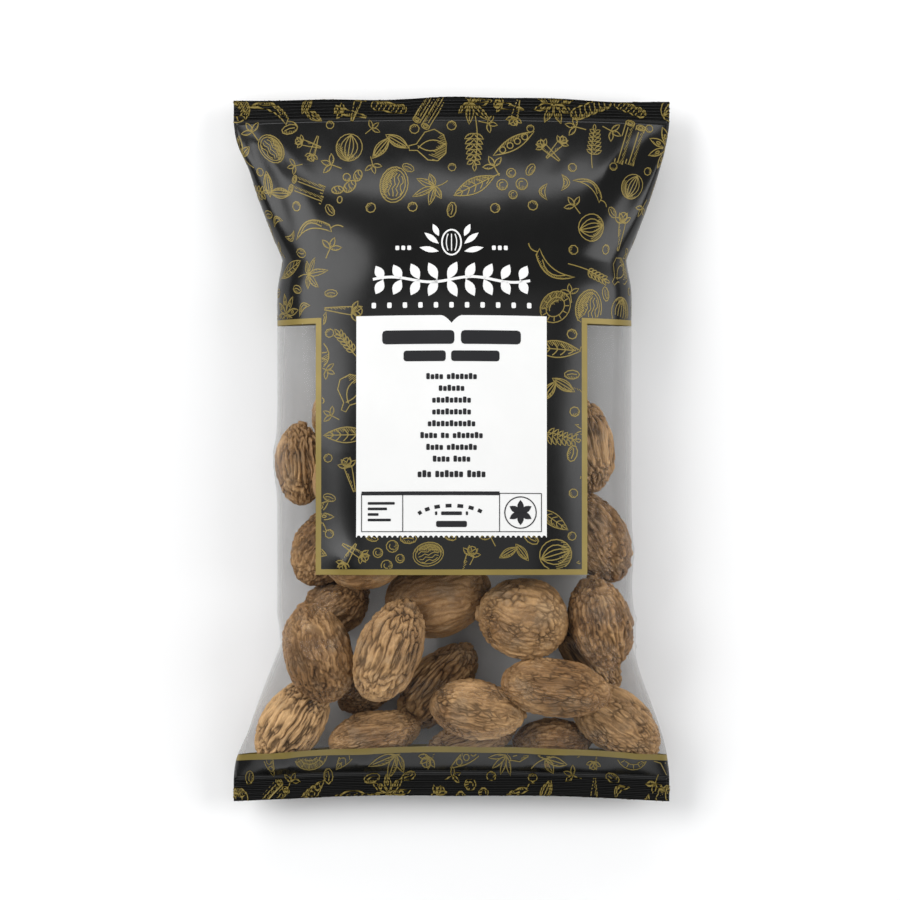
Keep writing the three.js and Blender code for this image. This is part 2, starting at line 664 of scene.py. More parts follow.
@dataclass(frozen=True)
class NutmegFinish(Finish):
    """Dried nutmeg: pale ridges, brown flanks and dark furrows, with a fine dusty grain. The crests
    are painted lighter and the furrows and hollows darker, partly the shell's own colour and partly
    painted light and shade.
    """

    name: str = "nutmeg"
    # Crest and furrow colours: the pale crests and dark furrows are partly the shell's own colour,
    # partly painted light and shade.
    ridge: Colour = (0.72, 0.445, 0.205)
    flank: Colour = (0.255, 0.130, 0.046)
    furrow: Colour = (0.026, 0.012, 0.005)
    dusty: Colour = (0.30, 0.225, 0.145)
    specular: float = 0.35
    grain_scale: float = 1100.0
    blotch_scale: float = 75.0
    patch_scale: float = 172.5
    plain_light: float = 0.20
    crest_light: float = 0.42
    blotch_light: float = 1.5
    grain_light: float = 0.75
    # knot_light lightens the knots' bumps and darkens their dents: painted light and shade.
    knot_light: float = 0.9
    dust: float = 0.35
    hair_dark: float = 0.34
    line_dark: tuple[float, float] = (0.45, 0.92)
    # crest_range: the rise over which the crests are painted paler, partly their own colour and
    # partly painted light.
    crest_range: tuple[float, float] = (0.05, 0.55)
    patch_range: tuple[float, float] = (0.5, 0.7)
    blotch_range: tuple[float, float] = (0.7, 0.3)
    # deep_range: the knot values over which the knots' hollows are darkened as painted shade.
    deep_range: tuple[float, float] = (-0.02, -0.16)
    roughness: tuple[float, float] = (0.5, 0.8)
    grain_height: float = 0.6
    hair_height: float = -0.8
    crest_height: float = 0.8
    net_height: float = -0.6
    bump_height: float = 0.4 * MM
    bump_strength: float = 0.6
    wrinkles: Wrinkles = Wrinkles()

    def paint(self, shader: Shader) -> dict[str, Any]:
        """Colour by ridge and furrow, partly painted light and shade, with blotches, dust and a
        fine grain.

        Args:
            shader: The material's tree.

        Returns:
            The Principled node's inputs by name.
        """
        place = shader.place()
        marks = self.wrinkles.pattern(shader, shader.named("shell", "Vector"))
        furrowed, netted, knotted = shader.split(shader.named("habit", "Vector"))
        blotch = shader.noise(place, self.blotch_scale, 3.0, 0.55, 0.3)
        grain = shader.noise(place, self.grain_scale, 4.0, 0.65)
        # Paler on the crests: partly the shell's own pale ridges, partly painted light.
        crest = shader.times(shader.ramp(marks["rise"], *self.crest_range), furrowed)
        light = shader.times_add(crest, self.crest_light, self.plain_light)
        # Random blotches and grain, and the knots, which lighten their bumps and darken their dents
        # as painted light and shade.
        for mark, share in ((shader.math("SUBTRACT", blotch, 0.5), self.blotch_light),
                            (shader.math("SUBTRACT", grain, 0.5), self.grain_light),
                            (shader.times(marks["knot"], knotted), self.knot_light)):
            light = shader.times_add(mark, share, light)
        light = shader.math("SUBTRACT", light, shader.named("tone"), clamp=True)
        dusted = shader.noise(place, self.patch_scale, 3.0, 0.55)
        patch = shader.ramp(dusted, *self.patch_range)
        colour = shader.mix(light, self.flank, self.ridge)
        colour = shader.mix(shader.times(patch, self.dust), colour, self.dusty)
        # Darker along furrows, hair lines, net cracks, the scar's hollows and the knots' hollows:
        # partly the shell's own dark furrows, partly painted shade in these recesses.
        hair = shader.times(shader.times(marks["hair"], furrowed), self.hair_dark)
        net = shader.times(marks["net"], netted)
        # Painted shade in the knots' hollows.
        deep = shader.times(shader.ramp(marks["knot"], *self.deep_range), knotted)
        dark = shader.times(marks["furrow"], furrowed)
        for line in (hair, net, shader.named("scar"), deep):
            dark = shader.math("MAXIMUM", dark, line)
        dark = shader.times(dark, shader.ramp(blotch, *self.blotch_range, *self.line_dark))
        height = shader.times(grain, self.grain_height)
        for mark, tall in ((hair, self.hair_height), (crest, self.crest_height),
                           (net, self.net_height)):
            height = shader.times_add(mark, tall, height)
        return {
            "Base Color": shader.mix(dark, colour, self.furrow),
            "Roughness": shader.ramp(dark, 0.0, 1.0, *self.roughness),
            "Specular IOR Level": self.specular,
            "Normal": shader.bump(self.bump_strength, self.bump_height, height),
        }


@dataclass(frozen=True)
class FloorFinish(Finish):
    """A plain pale studio floor."""

    name: str = "floor"
    colour: Colour = (0.95, 0.95, 0.95)
    roughness: float = 0.9
    specular: float = 0.1

    def paint(self, shader: Shader) -> dict[str, Any]:
        """An even matt colour."""
        return {"Base Color": (*self.colour, 1), "Roughness": self.roughness,
                "Specular IOR Level": self.specular}


# ---------------------------------------- The bag's form -----------------------------------------


def smoothstep(value: Array, low: float, high: float) -> Array:
    """Eases from 0 at low to 1 at high.

    Args:
        value: The values.
        low: Where the result leaves 0.
        high: Where it reaches 1.

    Returns:
        The eased values.
    """
    t = np.clip((value - low) / (high - low), 0, 1)
    return t * t * (3 - 2 * t)


@dataclass(frozen=True)
class Fold:
    """A soft fold in the film, as a straight valley or ridge on the unrolled bag.

    start and end are (across, along) shares of half the flat width and of the length.
    """

    start: tuple[float, float]
    end: tuple[float, float]
    height: float
    width: float


@dataclass(frozen=True)
class PillowForm:
    """The filled bag: a flat film tube, sealed at both ends, that narrows where it swells."""

    length: float
    flat_width: float
    belly_width: float = 94.6 * MM
    waist_width: float = 92 * MM
    waist_blend: float = 9 * MM
    lower_waist: float = 42 * MM
    upper_waist: float = 144 * MM
    flare_power: float = 1.4
    belly_rise: float = 19.6 * MM
    belly_drop: float = 18.6 * MM
    belly_middle: float = 17 * MM
    top_end_slack: float = 0.22
    slack_from: float = 0.5
    slack_full: float = 0.85
    bottom_swell: tuple[float, float] = (36 * MM, 2.4)
    top_swell: tuple[float, float] = (54 * MM, 2.3)
    seal_height: float = 9.5 * MM
    side_roundness: float = 2.45
    bottom_seal: float = 5.8 * MM
    top_seal: float = 5.5 * MM
    seal_half_thickness: float = 0.22 * MM
    crimps: int = 6
    crimp_height: float = 0.26 * MM
    bottom_edge_bow: float = 1.5 * MM
    top_edge_bow: float = 1.1 * MM
    bow_reach: float = 60 * MM
    pulled_bow: float = 1.3 * MM
    pulled_from: float = 5 * MM
    pulled_full: float = 12 * MM
    base_lift: float = 0.3 * MM

    def past_seal(self, d: Array) -> Array:
        """Distance from the nearer seal's inner edge, for places d from the bottom edge."""
        return np.maximum(0, np.minimum(d - self.bottom_seal, self.length - self.top_seal - d))

    def half_width(self, d: Array) -> Array:
        """Half the bag's width.

        Args:
            d: Places along the bag from its bottom edge.

        Returns:
            Half widths there.
        """
        lower = (self.lower_waist - d) / (self.lower_waist - self.bottom_seal)
        upper = (d - self.upper_waist) / (self.length - self.top_seal - self.upper_waist)
        outward = np.clip(np.maximum(lower, upper), 0, 1)
        flare = 1 - (1 - outward) ** self.flare_power
        in_belly = np.minimum(d - self.lower_waist, self.upper_waist - d)
        belly = smoothstep(in_belly, 0, self.waist_blend) * (self.belly_width - self.waist_width)
        return (self.waist_width + belly + flare * (self.flat_width - self.waist_width)) / 2

    def swell(self, d: Array) -> Array:
        """How far the film has swelled from flat, from 0 at a seal to 1 in the belly.

        Args:
            d: Places along the bag from its bottom edge.

        Returns:
            The swell there.
        """
        low = d < self.length / 2
        reach = np.where(low, self.bottom_swell[0], self.top_swell[0])
        power = np.where(low, self.bottom_swell[1], self.top_swell[1])
        return 1 - (1 - np.minimum(self.past_seal(d) / reach, 1)) ** power

    def tautness(self, d: Array) -> Array:
        """The half that holds only air is slacker than the half that holds nuts."""
        slack = smoothstep(d / self.length, self.slack_from, self.slack_full)
        return 1 - self.top_end_slack * slack

    def crimp(self, d: Array) -> Array:
        """Height of a seal's crimps, which move both faces together.

        Args:
            d: Places along the bag from its bottom edge.

        Returns:
            Heights there, 0 outside the seals.
        """
        from_edge = np.minimum(d, self.length - d)
        seal = np.where(d < self.length / 2, self.bottom_seal, self.top_seal)
        wave = np.cos(2 * np.pi * self.crimps * from_edge / seal)
        return np.where(from_edge < seal, self.crimp_height * wave, 0)

    def middle(self, d: Array) -> Array:
        """Height of the bag's side folds above the table."""
        rise = self.belly_middle - self.seal_height
        return self.seal_height + rise * self.swell(d)

    def face_height(self, x: Array, d: Array, front: bool) -> Array:
        """Height of the smooth front or back face.

        Args:
            x: Places across the bag.
            d: Places along the bag from its bottom edge.
            front: Whether the shown face is meant, and not the back.

        Returns:
            Heights above the table.
        """
        across = np.clip(np.abs(x) / self.half_width(d), 0, 1)
        lift = (1 - across ** self.side_roundness) ** (1 / self.side_roundness)
        reach = (self.belly_rise if front else -self.belly_drop) * self.tautness(d)
        return np.maximum(self.middle(d) + lift * self.swell(d) * reach, 0)

    def bowed(self, across: Array, d: Array) -> Array:
        """Place along Y: printed lines and cut edges bow up in the middle of the bag.

        Args:
            across: Shares of the half width.
            d: Places along the film from its bottom edge.

        Returns:
            Y coordinates.
        """
        arch = 1 - across * across
        at_bottom = self.bottom_edge_bow * np.maximum(0, 1 - d / self.bow_reach)
        pulled = smoothstep(d, self.pulled_from, self.pulled_full) * (1 - smoothstep(
            d, self.pulled_full, self.bow_reach))
        at_bottom = at_bottom + self.pulled_bow * pulled
        at_top = self.top_edge_bow * smoothstep(d, self.bow_reach, 2 * self.bow_reach)
        return d + at_bottom * arch - at_top * (1 - arch) - self.length / 2


def corner_folds() -> list[Fold]:
    """Folds that run from the seals' corners and along the ends, where the film takes up its slack.

    Returns:
        The folds of both sides and both ends.
    """
    right = [
        Fold((0.97, 0.045), (0.70, 0.235), -1.3 * MM, 2.6 * MM),
        Fold((0.80, 0.040), (0.62, 0.135), 0.8 * MM, 2.4 * MM),
        Fold((0.97, 0.962), (0.72, 0.780), -1.5 * MM, 2.8 * MM),
        Fold((0.84, 0.965), (0.60, 0.845), 0.9 * MM, 2.6 * MM),
        Fold((0.55, 0.962), (0.46, 0.885), -0.6 * MM, 2.0 * MM),
        Fold((0.22, 0.962), (0.20, 0.905), 0.5 * MM, 2.2 * MM),
    ]
    skew = (0.03, -0.01)
    left = [
        Fold((-f.start[0], f.start[1]), (skew[0] - f.end[0], f.end[1] + skew[1]), f.height, f.width)
        for f in right
    ]
    return right + left


@dataclass
class FilmTube:
    """The film: a grid of points round and along the bag, with its print zones and unrolled map."""

    form: PillowForm
    panel_half: float = 34.0 * MM
    gold_width: float = 1.45 * MM
    lower_gold: float = 10.9 * MM
    lower_gold_width: float = 1.6 * MM
    panel_foot: float = 60.2 * MM
    window_top: float = 126.4 * MM
    rows_per_crimp: int = 8
    row_step: float = 1.05 * MM
    panel_columns: int = 34
    gold_columns: int = 2
    side_columns: int = 22
    arc_steps: int = 500
    gap_over_nuts: float = 0.4 * MM
    push_along: float = 0.15
    left_pull: float = 1.5 * MM
    farthest: float = 7 * MM
    base_relief: float = 0.6
    pull_from: float = 4 * MM
    pull_full: float = 14 * MM
    ease_in: float = 1.5 * MM
    seam_columns: int = 4
    seam_thickness: float = 0.24 * MM
    seam_groove: float = 0.55
    seam_clearance: float = 0.02 * MM
    ease_rounds: int = 90
    ease_keep: float = 0.985
    # Puckers by the seals: wavelength, height and reach. Ripples: wavelength and height.
    puckers: tuple[tuple[float, float, float], ...] = (
        (45 * MM, 0.55 * MM, 16 * MM), (21 * MM, 0.42 * MM, 10 * MM),
        (11 * MM, 0.24 * MM, 5.5 * MM))
    pucker_lean: float = 0.25
    ripples: tuple[tuple[float, float], ...] = (
        (62 * MM, 0.28 * MM), (37 * MM, 0.196 * MM), (23 * MM, 0.112 * MM))
    ripple_from: float = 20 * MM
    # How the cut edges wander, as waves of angle per metre, start and height, and are shifted.
    top_wander: tuple[tuple[float, float, float], ...] = (
        (95, 0.6, 0.28 * MM), (210, 2.0, 0.16 * MM))
    bottom_wander: tuple[tuple[float, float, float], ...] = ((120, 1.2, -0.12 * MM),)
    top_shift: float = -0.35 * MM
    bottom_shift: float = 0.12 * MM
    fold_begins: tuple[float, float] = (-0.05, 0.2)
    fold_ends: tuple[float, float] = (0.55, 1.1)
    fold_widths: tuple[float, float] = (0.6, 1.5)
    folds: list[Fold] = field(default_factory=corner_folds)
    seed: int = 4

    def __post_init__(self) -> None:
        """Lays out the rows and the smooth surface."""
        self.rows, self.stretches = self.lay_rows()
        self.columns = 4 * (self.panel_columns + self.gold_columns + self.side_columns)
        self.points, self.u = self.lay_points()
        self.normals = self.find_normals()

    def lay_rows(self) -> tuple[Array, list[Stretch]]:
        """Chooses where rings of points lie along the film, with one on each edge of the print.

        Returns:
            The rows' distances from the bottom edge, and the stretch above each row.
        """
        form = self.form
        top = form.length - form.top_seal
        stops = [
            (0.0, Stretch.BAND), (form.bottom_seal, Stretch.BAND), (self.lower_gold, Stretch.LINE),
            (self.lower_gold + self.lower_gold_width, Stretch.OPEN),
            (self.panel_foot, Stretch.FOOT), (self.panel_foot + self.gold_width, Stretch.PANEL),
            (self.window_top, Stretch.HEAD), (self.window_top + self.gold_width, Stretch.BAND),
            (top, Stretch.BAND), (form.length, Stretch.BAND),
        ]
        rows: list[float] = []
        stretches: list[Stretch] = []
        for (start, stretch), (end, _) in zip(stops, stops[1:]):
            in_seal = end <= form.bottom_seal or start >= top
            count = form.crimps * self.rows_per_crimp
            if not in_seal:
                count = max(2, round((end - start) / self.row_step))
            rows += list(np.linspace(start, end, count, endpoint=False))
            stretches += [stretch] * count
        return np.array(rows + [form.length]), stretches

    def quarter(self, d: float, front: bool) -> tuple[Array, Array, Array]:
        """One ring's quarter section from the centre line to the side fold.

        Args:
            d: The ring's place along the film.
            front: Whether the shown face is meant.

        Returns:
            The columns' places across, their heights over the side fold, and how far across they
            are printed, as shares of half the flat width.
        """
        form = self.form
        turn = np.linspace(np.pi / 2, 0, self.arc_steps)
        half = float(form.half_width(np.array(d)))
        power = 2 / form.side_roundness
        x = half * np.cos(turn).clip(0) ** power
        lift = np.sin(turn).clip(0) ** power
        reach = (form.belly_rise if front else -form.belly_drop) * float(form.tautness(np.array(d)))
        height = lift * (float(form.swell(np.array(d))) * reach)
        height += lift * (form.seal_half_thickness if front else -form.seal_half_thickness)
        run = np.concatenate([[0], np.cumsum(np.hypot(np.diff(x), np.diff(height)))])
        edge = self.panel_half + self.gold_width
        middle = np.concatenate([
            np.linspace(0, self.panel_half, self.panel_columns, endpoint=False),
            np.linspace(self.panel_half, edge, self.gold_columns, endpoint=False),
        ])
        side = np.linspace(np.interp(edge, x, run), run[-1], self.side_columns + 1)
        full = form.flat_width / 2
        flat = np.concatenate([middle, np.linspace(edge, full, self.side_columns + 1)])
        places = np.concatenate([np.interp(middle, x, run), side])
        return np.interp(places, run, x), np.interp(places, run, height), flat / full

    def lay_points(self) -> tuple[Array, Array]:
        """Places every point of the smooth bag.

        The ring starts and ends at the middle of the back, going by the left fold, the front and
        the right fold.

        Returns:
            The points as rows by columns by 3, and each column's share of the way round, from -2 at
            the back by the left fold to 2 at the back by the right one, for every row.
        """
        form = self.form
        rings, shares = [], []
        for d in self.rows:
            fx, fz, fs = self.quarter(float(d), True)
            bx, bz, bs = self.quarter(float(d), False)
            x = np.concatenate([-bx[:-1], -fx[:0:-1], fx[:-1], bx[::-1]])
            z = np.concatenate([bz[:-1], fz[:0:-1], fz[:-1], bz[::-1]])
            share = np.concatenate([-2 + bs[:-1], -fs[:0:-1], fs[:-1], 2 - bs[::-1]])
            rings.append(np.stack([x, np.full_like(x, d), z], axis=1))
            shares.append(share)
        points, share = np.array(rings), np.array(shares)
        d, x = points[:, :, 1], points[:, :, 0]
        across = x / form.half_width(d)
        front = np.abs(share) < 1
        lift = points[:, :, 2] / max(form.belly_rise, form.belly_drop)
        relief = self.relief(x, d) * np.abs(lift) ** 0.5
        relief = np.where(front, relief, -self.base_relief * relief)
        z = points[:, :, 2] + form.middle(d) + form.crimp(d) + relief
        points[:, :, 2] = np.maximum(z, form.base_lift)
        edge = self.panel_half + self.gold_width
        outer = (-x - edge).clip(0) / (form.half_width(d) - edge)
        begun = smoothstep(form.past_seal(d), self.pull_from, self.pull_full)
        pull = self.left_pull * outer * begun
        points[:, :, 1] = form.bowed(across, d) + self.cut_edge(x, d)
        points[:, :, 0] += pull
        return points, share * form.flat_width / 2

    def relief(self, x: Array, d: Array) -> Array:
        """Soft puckers by the seals, corner folds and faint ripples, as height out of the film.

        Args:
            x: Places across.
            d: Places along the film.

        Returns:
            Heights.
        """
        form = self.form
        past = form.past_seal(d)
        rng = np.random.default_rng(self.seed)
        height = np.zeros_like(x)
        low = d < form.length / 2
        for wave, tall, reach in self.puckers:
            fade = past / reach * np.exp(1 - past / reach)
            lean = rng.uniform(-self.pucker_lean, self.pucker_lean, 2)
            phase = rng.uniform(0, 2 * np.pi, 2)
            slant = np.where(low, lean[0], lean[1]) * past
            start = np.where(low, phase[0], phase[1])
            height += tall * fade * np.cos(2 * np.pi * (x + slant) / wave + start)
        body = smoothstep(past, 0, self.ripple_from)
        for wave, tall in self.ripples:
            angle = rng.uniform(0, np.pi)
            phase = rng.uniform(0, 2 * np.pi)
            along = (x * np.cos(angle) + d * np.sin(angle)) / wave
            height += tall * body * np.sin(2 * np.pi * along + phase)
        for fold in self.folds:
            height += self.fold_height(fold, x, d)
        return height

    def fold_height(self, fold: Fold, x: Array, d: Array) -> Array:
        """One fold's height over the film.

        Args:
            fold: The fold.
            x: Places across.
            d: Places along the film.

        Returns:
            Heights.
        """
        form = self.form
        scale = np.array([form.flat_width / 2, form.length])
        start, end = np.array(fold.start) * scale, np.array(fold.end) * scale
        run = end - start
        size = float(np.hypot(*run))
        run /= size
        along = (x - start[0]) * run[0] + (d - start[1]) * run[1]
        off = (x - start[0]) * -run[1] + (d - start[1]) * run[0]
        t = along / size
        fade = smoothstep(t, *self.fold_begins) * (1 - smoothstep(t, *self.fold_ends))
        wide = fold.width * np.interp(t, (0, 1), self.fold_widths)
        return fold.height * fade * np.exp(-((off / wide) ** 2))

    def cut_edge(self, x: Array, d: Array) -> Array:
        """The slight wander of the cut ends, fading within the seals.

        Args:
            x: Places across.
            d: Places along the film.

        Returns:
            Shifts along Y.
        """
        form = self.form
        total = np.zeros_like(x)
        for share, waves, shift in (
            (smoothstep(d, form.length - form.top_seal, form.length), self.top_wander,
             self.top_shift),
            (1 - smoothstep(d, 0, form.bottom_seal), self.bottom_wander, self.bottom_shift),
        ):
            total += share * (sum(np.sin(x * w + start) * tall for w, start, tall in waves) + shift)
        return total

    def find_normals(self) -> Array:
        """Outward unit normals of the grid.

        Returns:
            Normals as rows by columns by 3.
        """
        ring = self.points[:, :-1]
        around = np.roll(ring, -1, axis=1) - np.roll(ring, 1, axis=1)
        along = np.gradient(ring, axis=0)
        normal = np.cross(around, along)
        normal /= np.linalg.norm(normal, axis=2, keepdims=True).clip(TINY * MM)
        return np.concatenate([normal, normal[:, :1]], axis=1)

    def drape(self, nuts: list[Object]) -> float:
        """Pushes the film out over the nuts, easing off around each one.

        Args:
            nuts: The grown nuts.

        Returns:
            The furthest that the film was pushed.
        """
        ways = self.normals * np.array([1, self.push_along, 1])
        ways /= np.linalg.norm(ways, axis=2, keepdims=True)
        shells = self.shells(nuts)
        need = np.zeros(self.points.shape[:2])
        for spot in np.ndindex(need.shape):
            start = Vector(self.points[spot] + ways[spot] * self.farthest)
            far = shells.ray_cast(start, Vector(-ways[spot]), 2 * self.farthest)[3]
            if far is not None:
                need[spot] = max(0.0, self.farthest - far + self.gap_over_nuts)
        near = [(i, j) for i in (-1, 0, 1) for j in (-1, 0, 1)]
        need = np.max([np.roll(need, shift, (0, 1)) for shift in near], axis=0)
        body = smoothstep(self.form.past_seal(self.rows), 0, self.ease_in)[:, None]
        need = need * body
        push = need.copy()
        for _ in range(self.ease_rounds):
            ring = push[:, :-1]
            mean = (np.roll(ring, 1, 1) + np.roll(ring, -1, 1)) / 4
            mean[1:-1] += (ring[2:] + ring[:-2]) / 4
            mean[0], mean[-1] = 0, 0
            mean = np.concatenate([mean, mean[:, :1]], axis=1) * self.ease_keep
            push = np.maximum(need, mean * body)
        self.points += ways * push[:, :, None]
        self.points[:, :, 2] = np.maximum(self.points[:, :, 2], self.form.base_lift)
        self.normals = self.find_normals()
        return float(push.max())

    @staticmethod
    def shells(nuts: list[Object]) -> BVHTree:
        """Gathers all the nuts' surfaces in one search tree.

        Args:
            nuts: The grown nuts.

        Returns:
            The search tree.
        """
        places: list[Vector] = []
        faces: list[list[int]] = []
        for nut in nuts:
            first = len(places)
            places += [v.co for v in nut.data.vertices]
            faces += [[first + k for k in face.vertices] for face in nut.data.polygons]
        return BVHTree.FromPolygons(places, faces)

    def seam(self, name: str, *zones: Zone) -> Mesh:
        """Makes a stretch of the ribbed lap seam along the middle of the back.

        Args:
            name: The mesh's name.
            *zones: The zones whose rows the stretch covers.

        Returns:
            The mesh.
        """
        columns = [k % self.columns for k in range(-self.seam_columns, self.seam_columns + 1)]
        wide = len(columns)
        ribs = np.array([0.0] + [1.0, self.seam_groove] * (self.seam_columns - 1) + [1.0, 0.0])
        rise = self.normals[:, columns] * ribs[:, None] * self.seam_thickness
        strip = self.points[:, columns] + rise
        strip[:, :, 2] = np.maximum(strip[:, :, 2], self.seam_clearance)
        rows = [row for row in range(len(self.rows) - 1) if self.zone_of(row, 0) in zones]
        corners = [row * wide + k for row in rows for k in range(wide - 1)]
        quads = [[a, a + 1, a + wide + 1, a + wide] for a in corners]
        return mesh_of(name, strip.reshape(-1, 3), quads)

    def zone_of(self, row: int, step: int) -> Zone:
        """What a face carries, by its row and its steps from the middle of its side."""
        border = self.panel_columns + self.gold_columns
        return self.stretches[row].value[(step >= self.panel_columns) + (step >= border)]

    def faces(self) -> dict[tuple[Zone, bool], list[tuple[int, int]]]:
        """Sorts the grid's faces by zone and by whether they lie on the front.

        Returns:
            (row, column) of the faces of each zone and side.
        """
        quarter = self.columns // 4
        found: dict[tuple[Zone, bool], list[tuple[int, int]]] = {}
        for row in range(len(self.rows) - 1):
            for column in range(self.columns):
                part, step = divmod(column, quarter)
                from_middle = step if part in (0, 2) else quarter - 1 - step
                key = (self.zone_of(row, from_middle), part in (1, 2))
                found.setdefault(key, []).append((row, column))
        return found

    def caps(self) -> list[list[tuple[int, int]]]:
        """The faces that shut the tube's two cut ends, each as its grid points.

        Returns:
            (row, column) of each face's corners.
        """
        fold = self.columns // 4
        rings = []
        for row, way in ((0, -1), (len(self.rows) - 1, 1)):
            for step in range(self.columns // 2):
                around = (fold - step - 1, fold - step, fold + step, fold + step + 1)
                rings.append(list(dict.fromkeys((row, c % self.columns) for c in around[::way])))
        return rings

    def sheet(self, name: str, faces: list[tuple[int, int]], capped: bool = False) -> Mesh:
        """Makes a mesh of some of the grid's faces, with its unrolled map.

        Args:
            name: The mesh's name.
            faces: (row, column) of each face.
            capped: Whether the tube's two cut ends are shut as well.

        Returns:
            The mesh.
        """
        rings = [[(r, c), (r, c + 1), (r + 1, c + 1), (r + 1, c)] for r, c in faces]
        rings += self.caps() if capped else []
        numbers = [[r * self.columns + c % self.columns for r, c in ring] for ring in rings]
        mesh = mesh_of(name, self.points[:, :-1].reshape(-1, 3), numbers)
        spots = [(self.u[spot], self.rows[spot[0]]) for ring in rings for spot in ring]
        layer = mesh.uv_layers.new(name=UNROLLED)
        layer.data.foreach_set("uv", np.array(spots, np.float32).ravel())
        mesh.validate()
        return mesh


# ---------------------------------------- Nutmegs ------------------------------------------------


@dataclass(frozen=True)
class Skin:
    """How strongly a nutmeg's shell is furrowed, netted and knotted, and how dark it is."""

    furrows: float
    net: float
    knots: float
    tone: float


class Habit(Enum):
    """The ways in which a dried nutmeg's shell wrinkles."""

    RIDGED = Skin(1.0, 0.25, 0.15, -0.04)
    NETTED = Skin(0.55, 0.95, 0.30, 0.0)
    KNOTTED = Skin(0.75, 0.75, 1.0, 0.08)
    SMOOTH = Skin(0.45, 0.20, 0.15, 0.04)


class View(Enum):
    """How well a nut is seen, as the points round it and along it."""

    FULL = (200, 116)
    PART = (140, 84)
    HIDDEN = (72, 44)


@dataclass
class Nutmeg:
    """One nutmeg: where it lies, its size and its skin.

    across and along are shares of half the flat width from the centre line, and of the length from
    the bottom edge. level runs from 0 on the back film to 1 under the front film. heading is the
    turn of the scarred end from +X in degrees, and pitch how far that end is raised.
    """

    name: str
    across: float
    along: float
    level: float
    length: float
    girth: float
    heading: float
    habit: Habit
    pitch: float = 0.0
    tone: float = 0.0
    view: View = View.FULL
    centre: Array = field(default_factory=lambda: np.zeros(3))
    target: Array = field(default_factory=lambda: np.zeros(3))

    @property
    def axis(self) -> Array:
        """Unit vector along the nut towards its scarred end.

        Returns:
            The vector.
        """
        turn, lift = math.radians(self.heading), math.radians(self.pitch)
        flat = math.cos(lift)
        return np.array([math.cos(turn) * flat, math.sin(turn) * flat, math.sin(lift)])

    def beads(self, count: int = 5) -> tuple[Array, Array]:
        """Balls along the nut's axis that fill its form, for settling.

        Args:
            count: How many balls.

        Returns:
            Offsets of the balls from the nut's centre, and their radii.
        """
        a, b = self.length / 2, self.girth / 2
        room = a * a - b * b
        offsets = np.linspace(-1, 1, count) * room / a
        radii = b * np.sqrt(1 - offsets**2 / room)
        return offsets[:, None] * self.axis, radii


def nut_list() -> list[Nutmeg]:
    """The nuts of the bag, from the bottom seal up.

    Returns:
        The nuts, not yet settled.
    """
    r, n, k, s = Habit.RIDGED, Habit.NETTED, Habit.KNOTTED, Habit.SMOOTH
    full, part, hidden = View.FULL, View.PART, View.HIDDEN
    rows = [
        # Name, across, along, level, length, girth, heading, habit, pitch, tone, view
        ("corner_left", -0.735, 0.106, 1.0, 27.0, 17.5, 56, r, 6, -0.48, full),
        ("corner_right", 0.765, 0.118, 1.0, 26.5, 17.0, -36, n, 0, -0.26, full),
        ("foot_left", -0.35, 0.086, 0.45, 25.0, 13.4, 12, n, 0, 0.0, full),
        ("foot_middle", 0.085, 0.073, 0.1, 24.0, 12.0, 15, r, 0, 0.0, full),
        ("foot_right", 0.495, 0.076, 0.1, 21.0, 13.8, 5, k, 0, 0.22, part),
        ("waist_left", -0.66, 0.18, 0.4, 27.0, 19.0, 106, k, 0, 0.14, full),
        ("leaning", -0.31, 0.214, 0.95, 28.6, 18.4, 68, r, 0, -0.08, full),
        ("lying", 0.125, 0.125, 0.95, 25.4, 16.4, -9, n, 0, -0.1, full),
        ("slanting", -0.052, 0.152, 0.25, 27.5, 16.5, 49, r, 4, 0.1, full),
        ("marbled", 0.49, 0.148, 0.5, 29.0, 16.4, -8, n, 0, 0.1, full),
        ("cracked", 0.69, 0.203, 0.0, 25.0, 13.2, 128, r, 0, -0.14, part),
        ("round_scarred", 0.322, 0.257, 0.85, 24.4, 22.4, 165, n, 0, -0.10, full),
        ("upright_right", 0.705, 0.238, 0.8, 25.0, 17.4, 106, k, 0, 0.06, full),
        ("broad_dark", -0.065, 0.29, 0.35, 28.0, 22.0, 12, s, 0, 0.14, full),
        ("behind_left", -0.53, 0.278, 0.0, 19.0, 16.0, 35, k, 0, 0.10, part),
        ("deep_left", -0.4, 0.143, 0.0, 15.0, 10.5, 20, k, 0, 0.2, part),
        ("under_panel", -0.403, 0.350, 0.80, 22.5, 17.0, 15, s, 0, -0.08, part),
        ("edge_left", -0.575, 0.360, 0.45, 22.0, 16.5, 62, k, 0, 0.03, part),
        ("edge_right", 0.664, 0.376, 0.45, 25.8, 17.0, 117, k, 0, 0.06, part),
        ("pale_left", -0.500, 0.463, 0.80, 21.5, 17.0, 80, s, 0, -0.16, part),
        ("window_left", -0.680, 0.482, 0.35, 22.0, 14.4, 92, r, 0, 0.0, part),
        ("window_right", 0.610, 0.508, 0.45, 25.8, 16.0, 101, r, 0, -0.04, part),
        ("sliver_left", -0.515, 0.553, 0.35, 19.5, 16.0, 60, s, 0, -0.08, part),
        ("hidden_low", 0.060, 0.400, 0.30, 24.0, 17.0, 40, n, 0, 0.06, hidden),
        ("hidden_middle", -0.190, 0.455, 0.20, 23.0, 17.0, -30, n, 0, 0.04, hidden),
        ("hidden_high", 0.310, 0.470, 0.20, 24.0, 17.0, 70, r, 0, 0.05, hidden),
    ]
    return [Nutmeg(name, across, along, level, long * MM, girth * MM, *rest)
            for name, across, along, level, long, girth, *rest in rows]


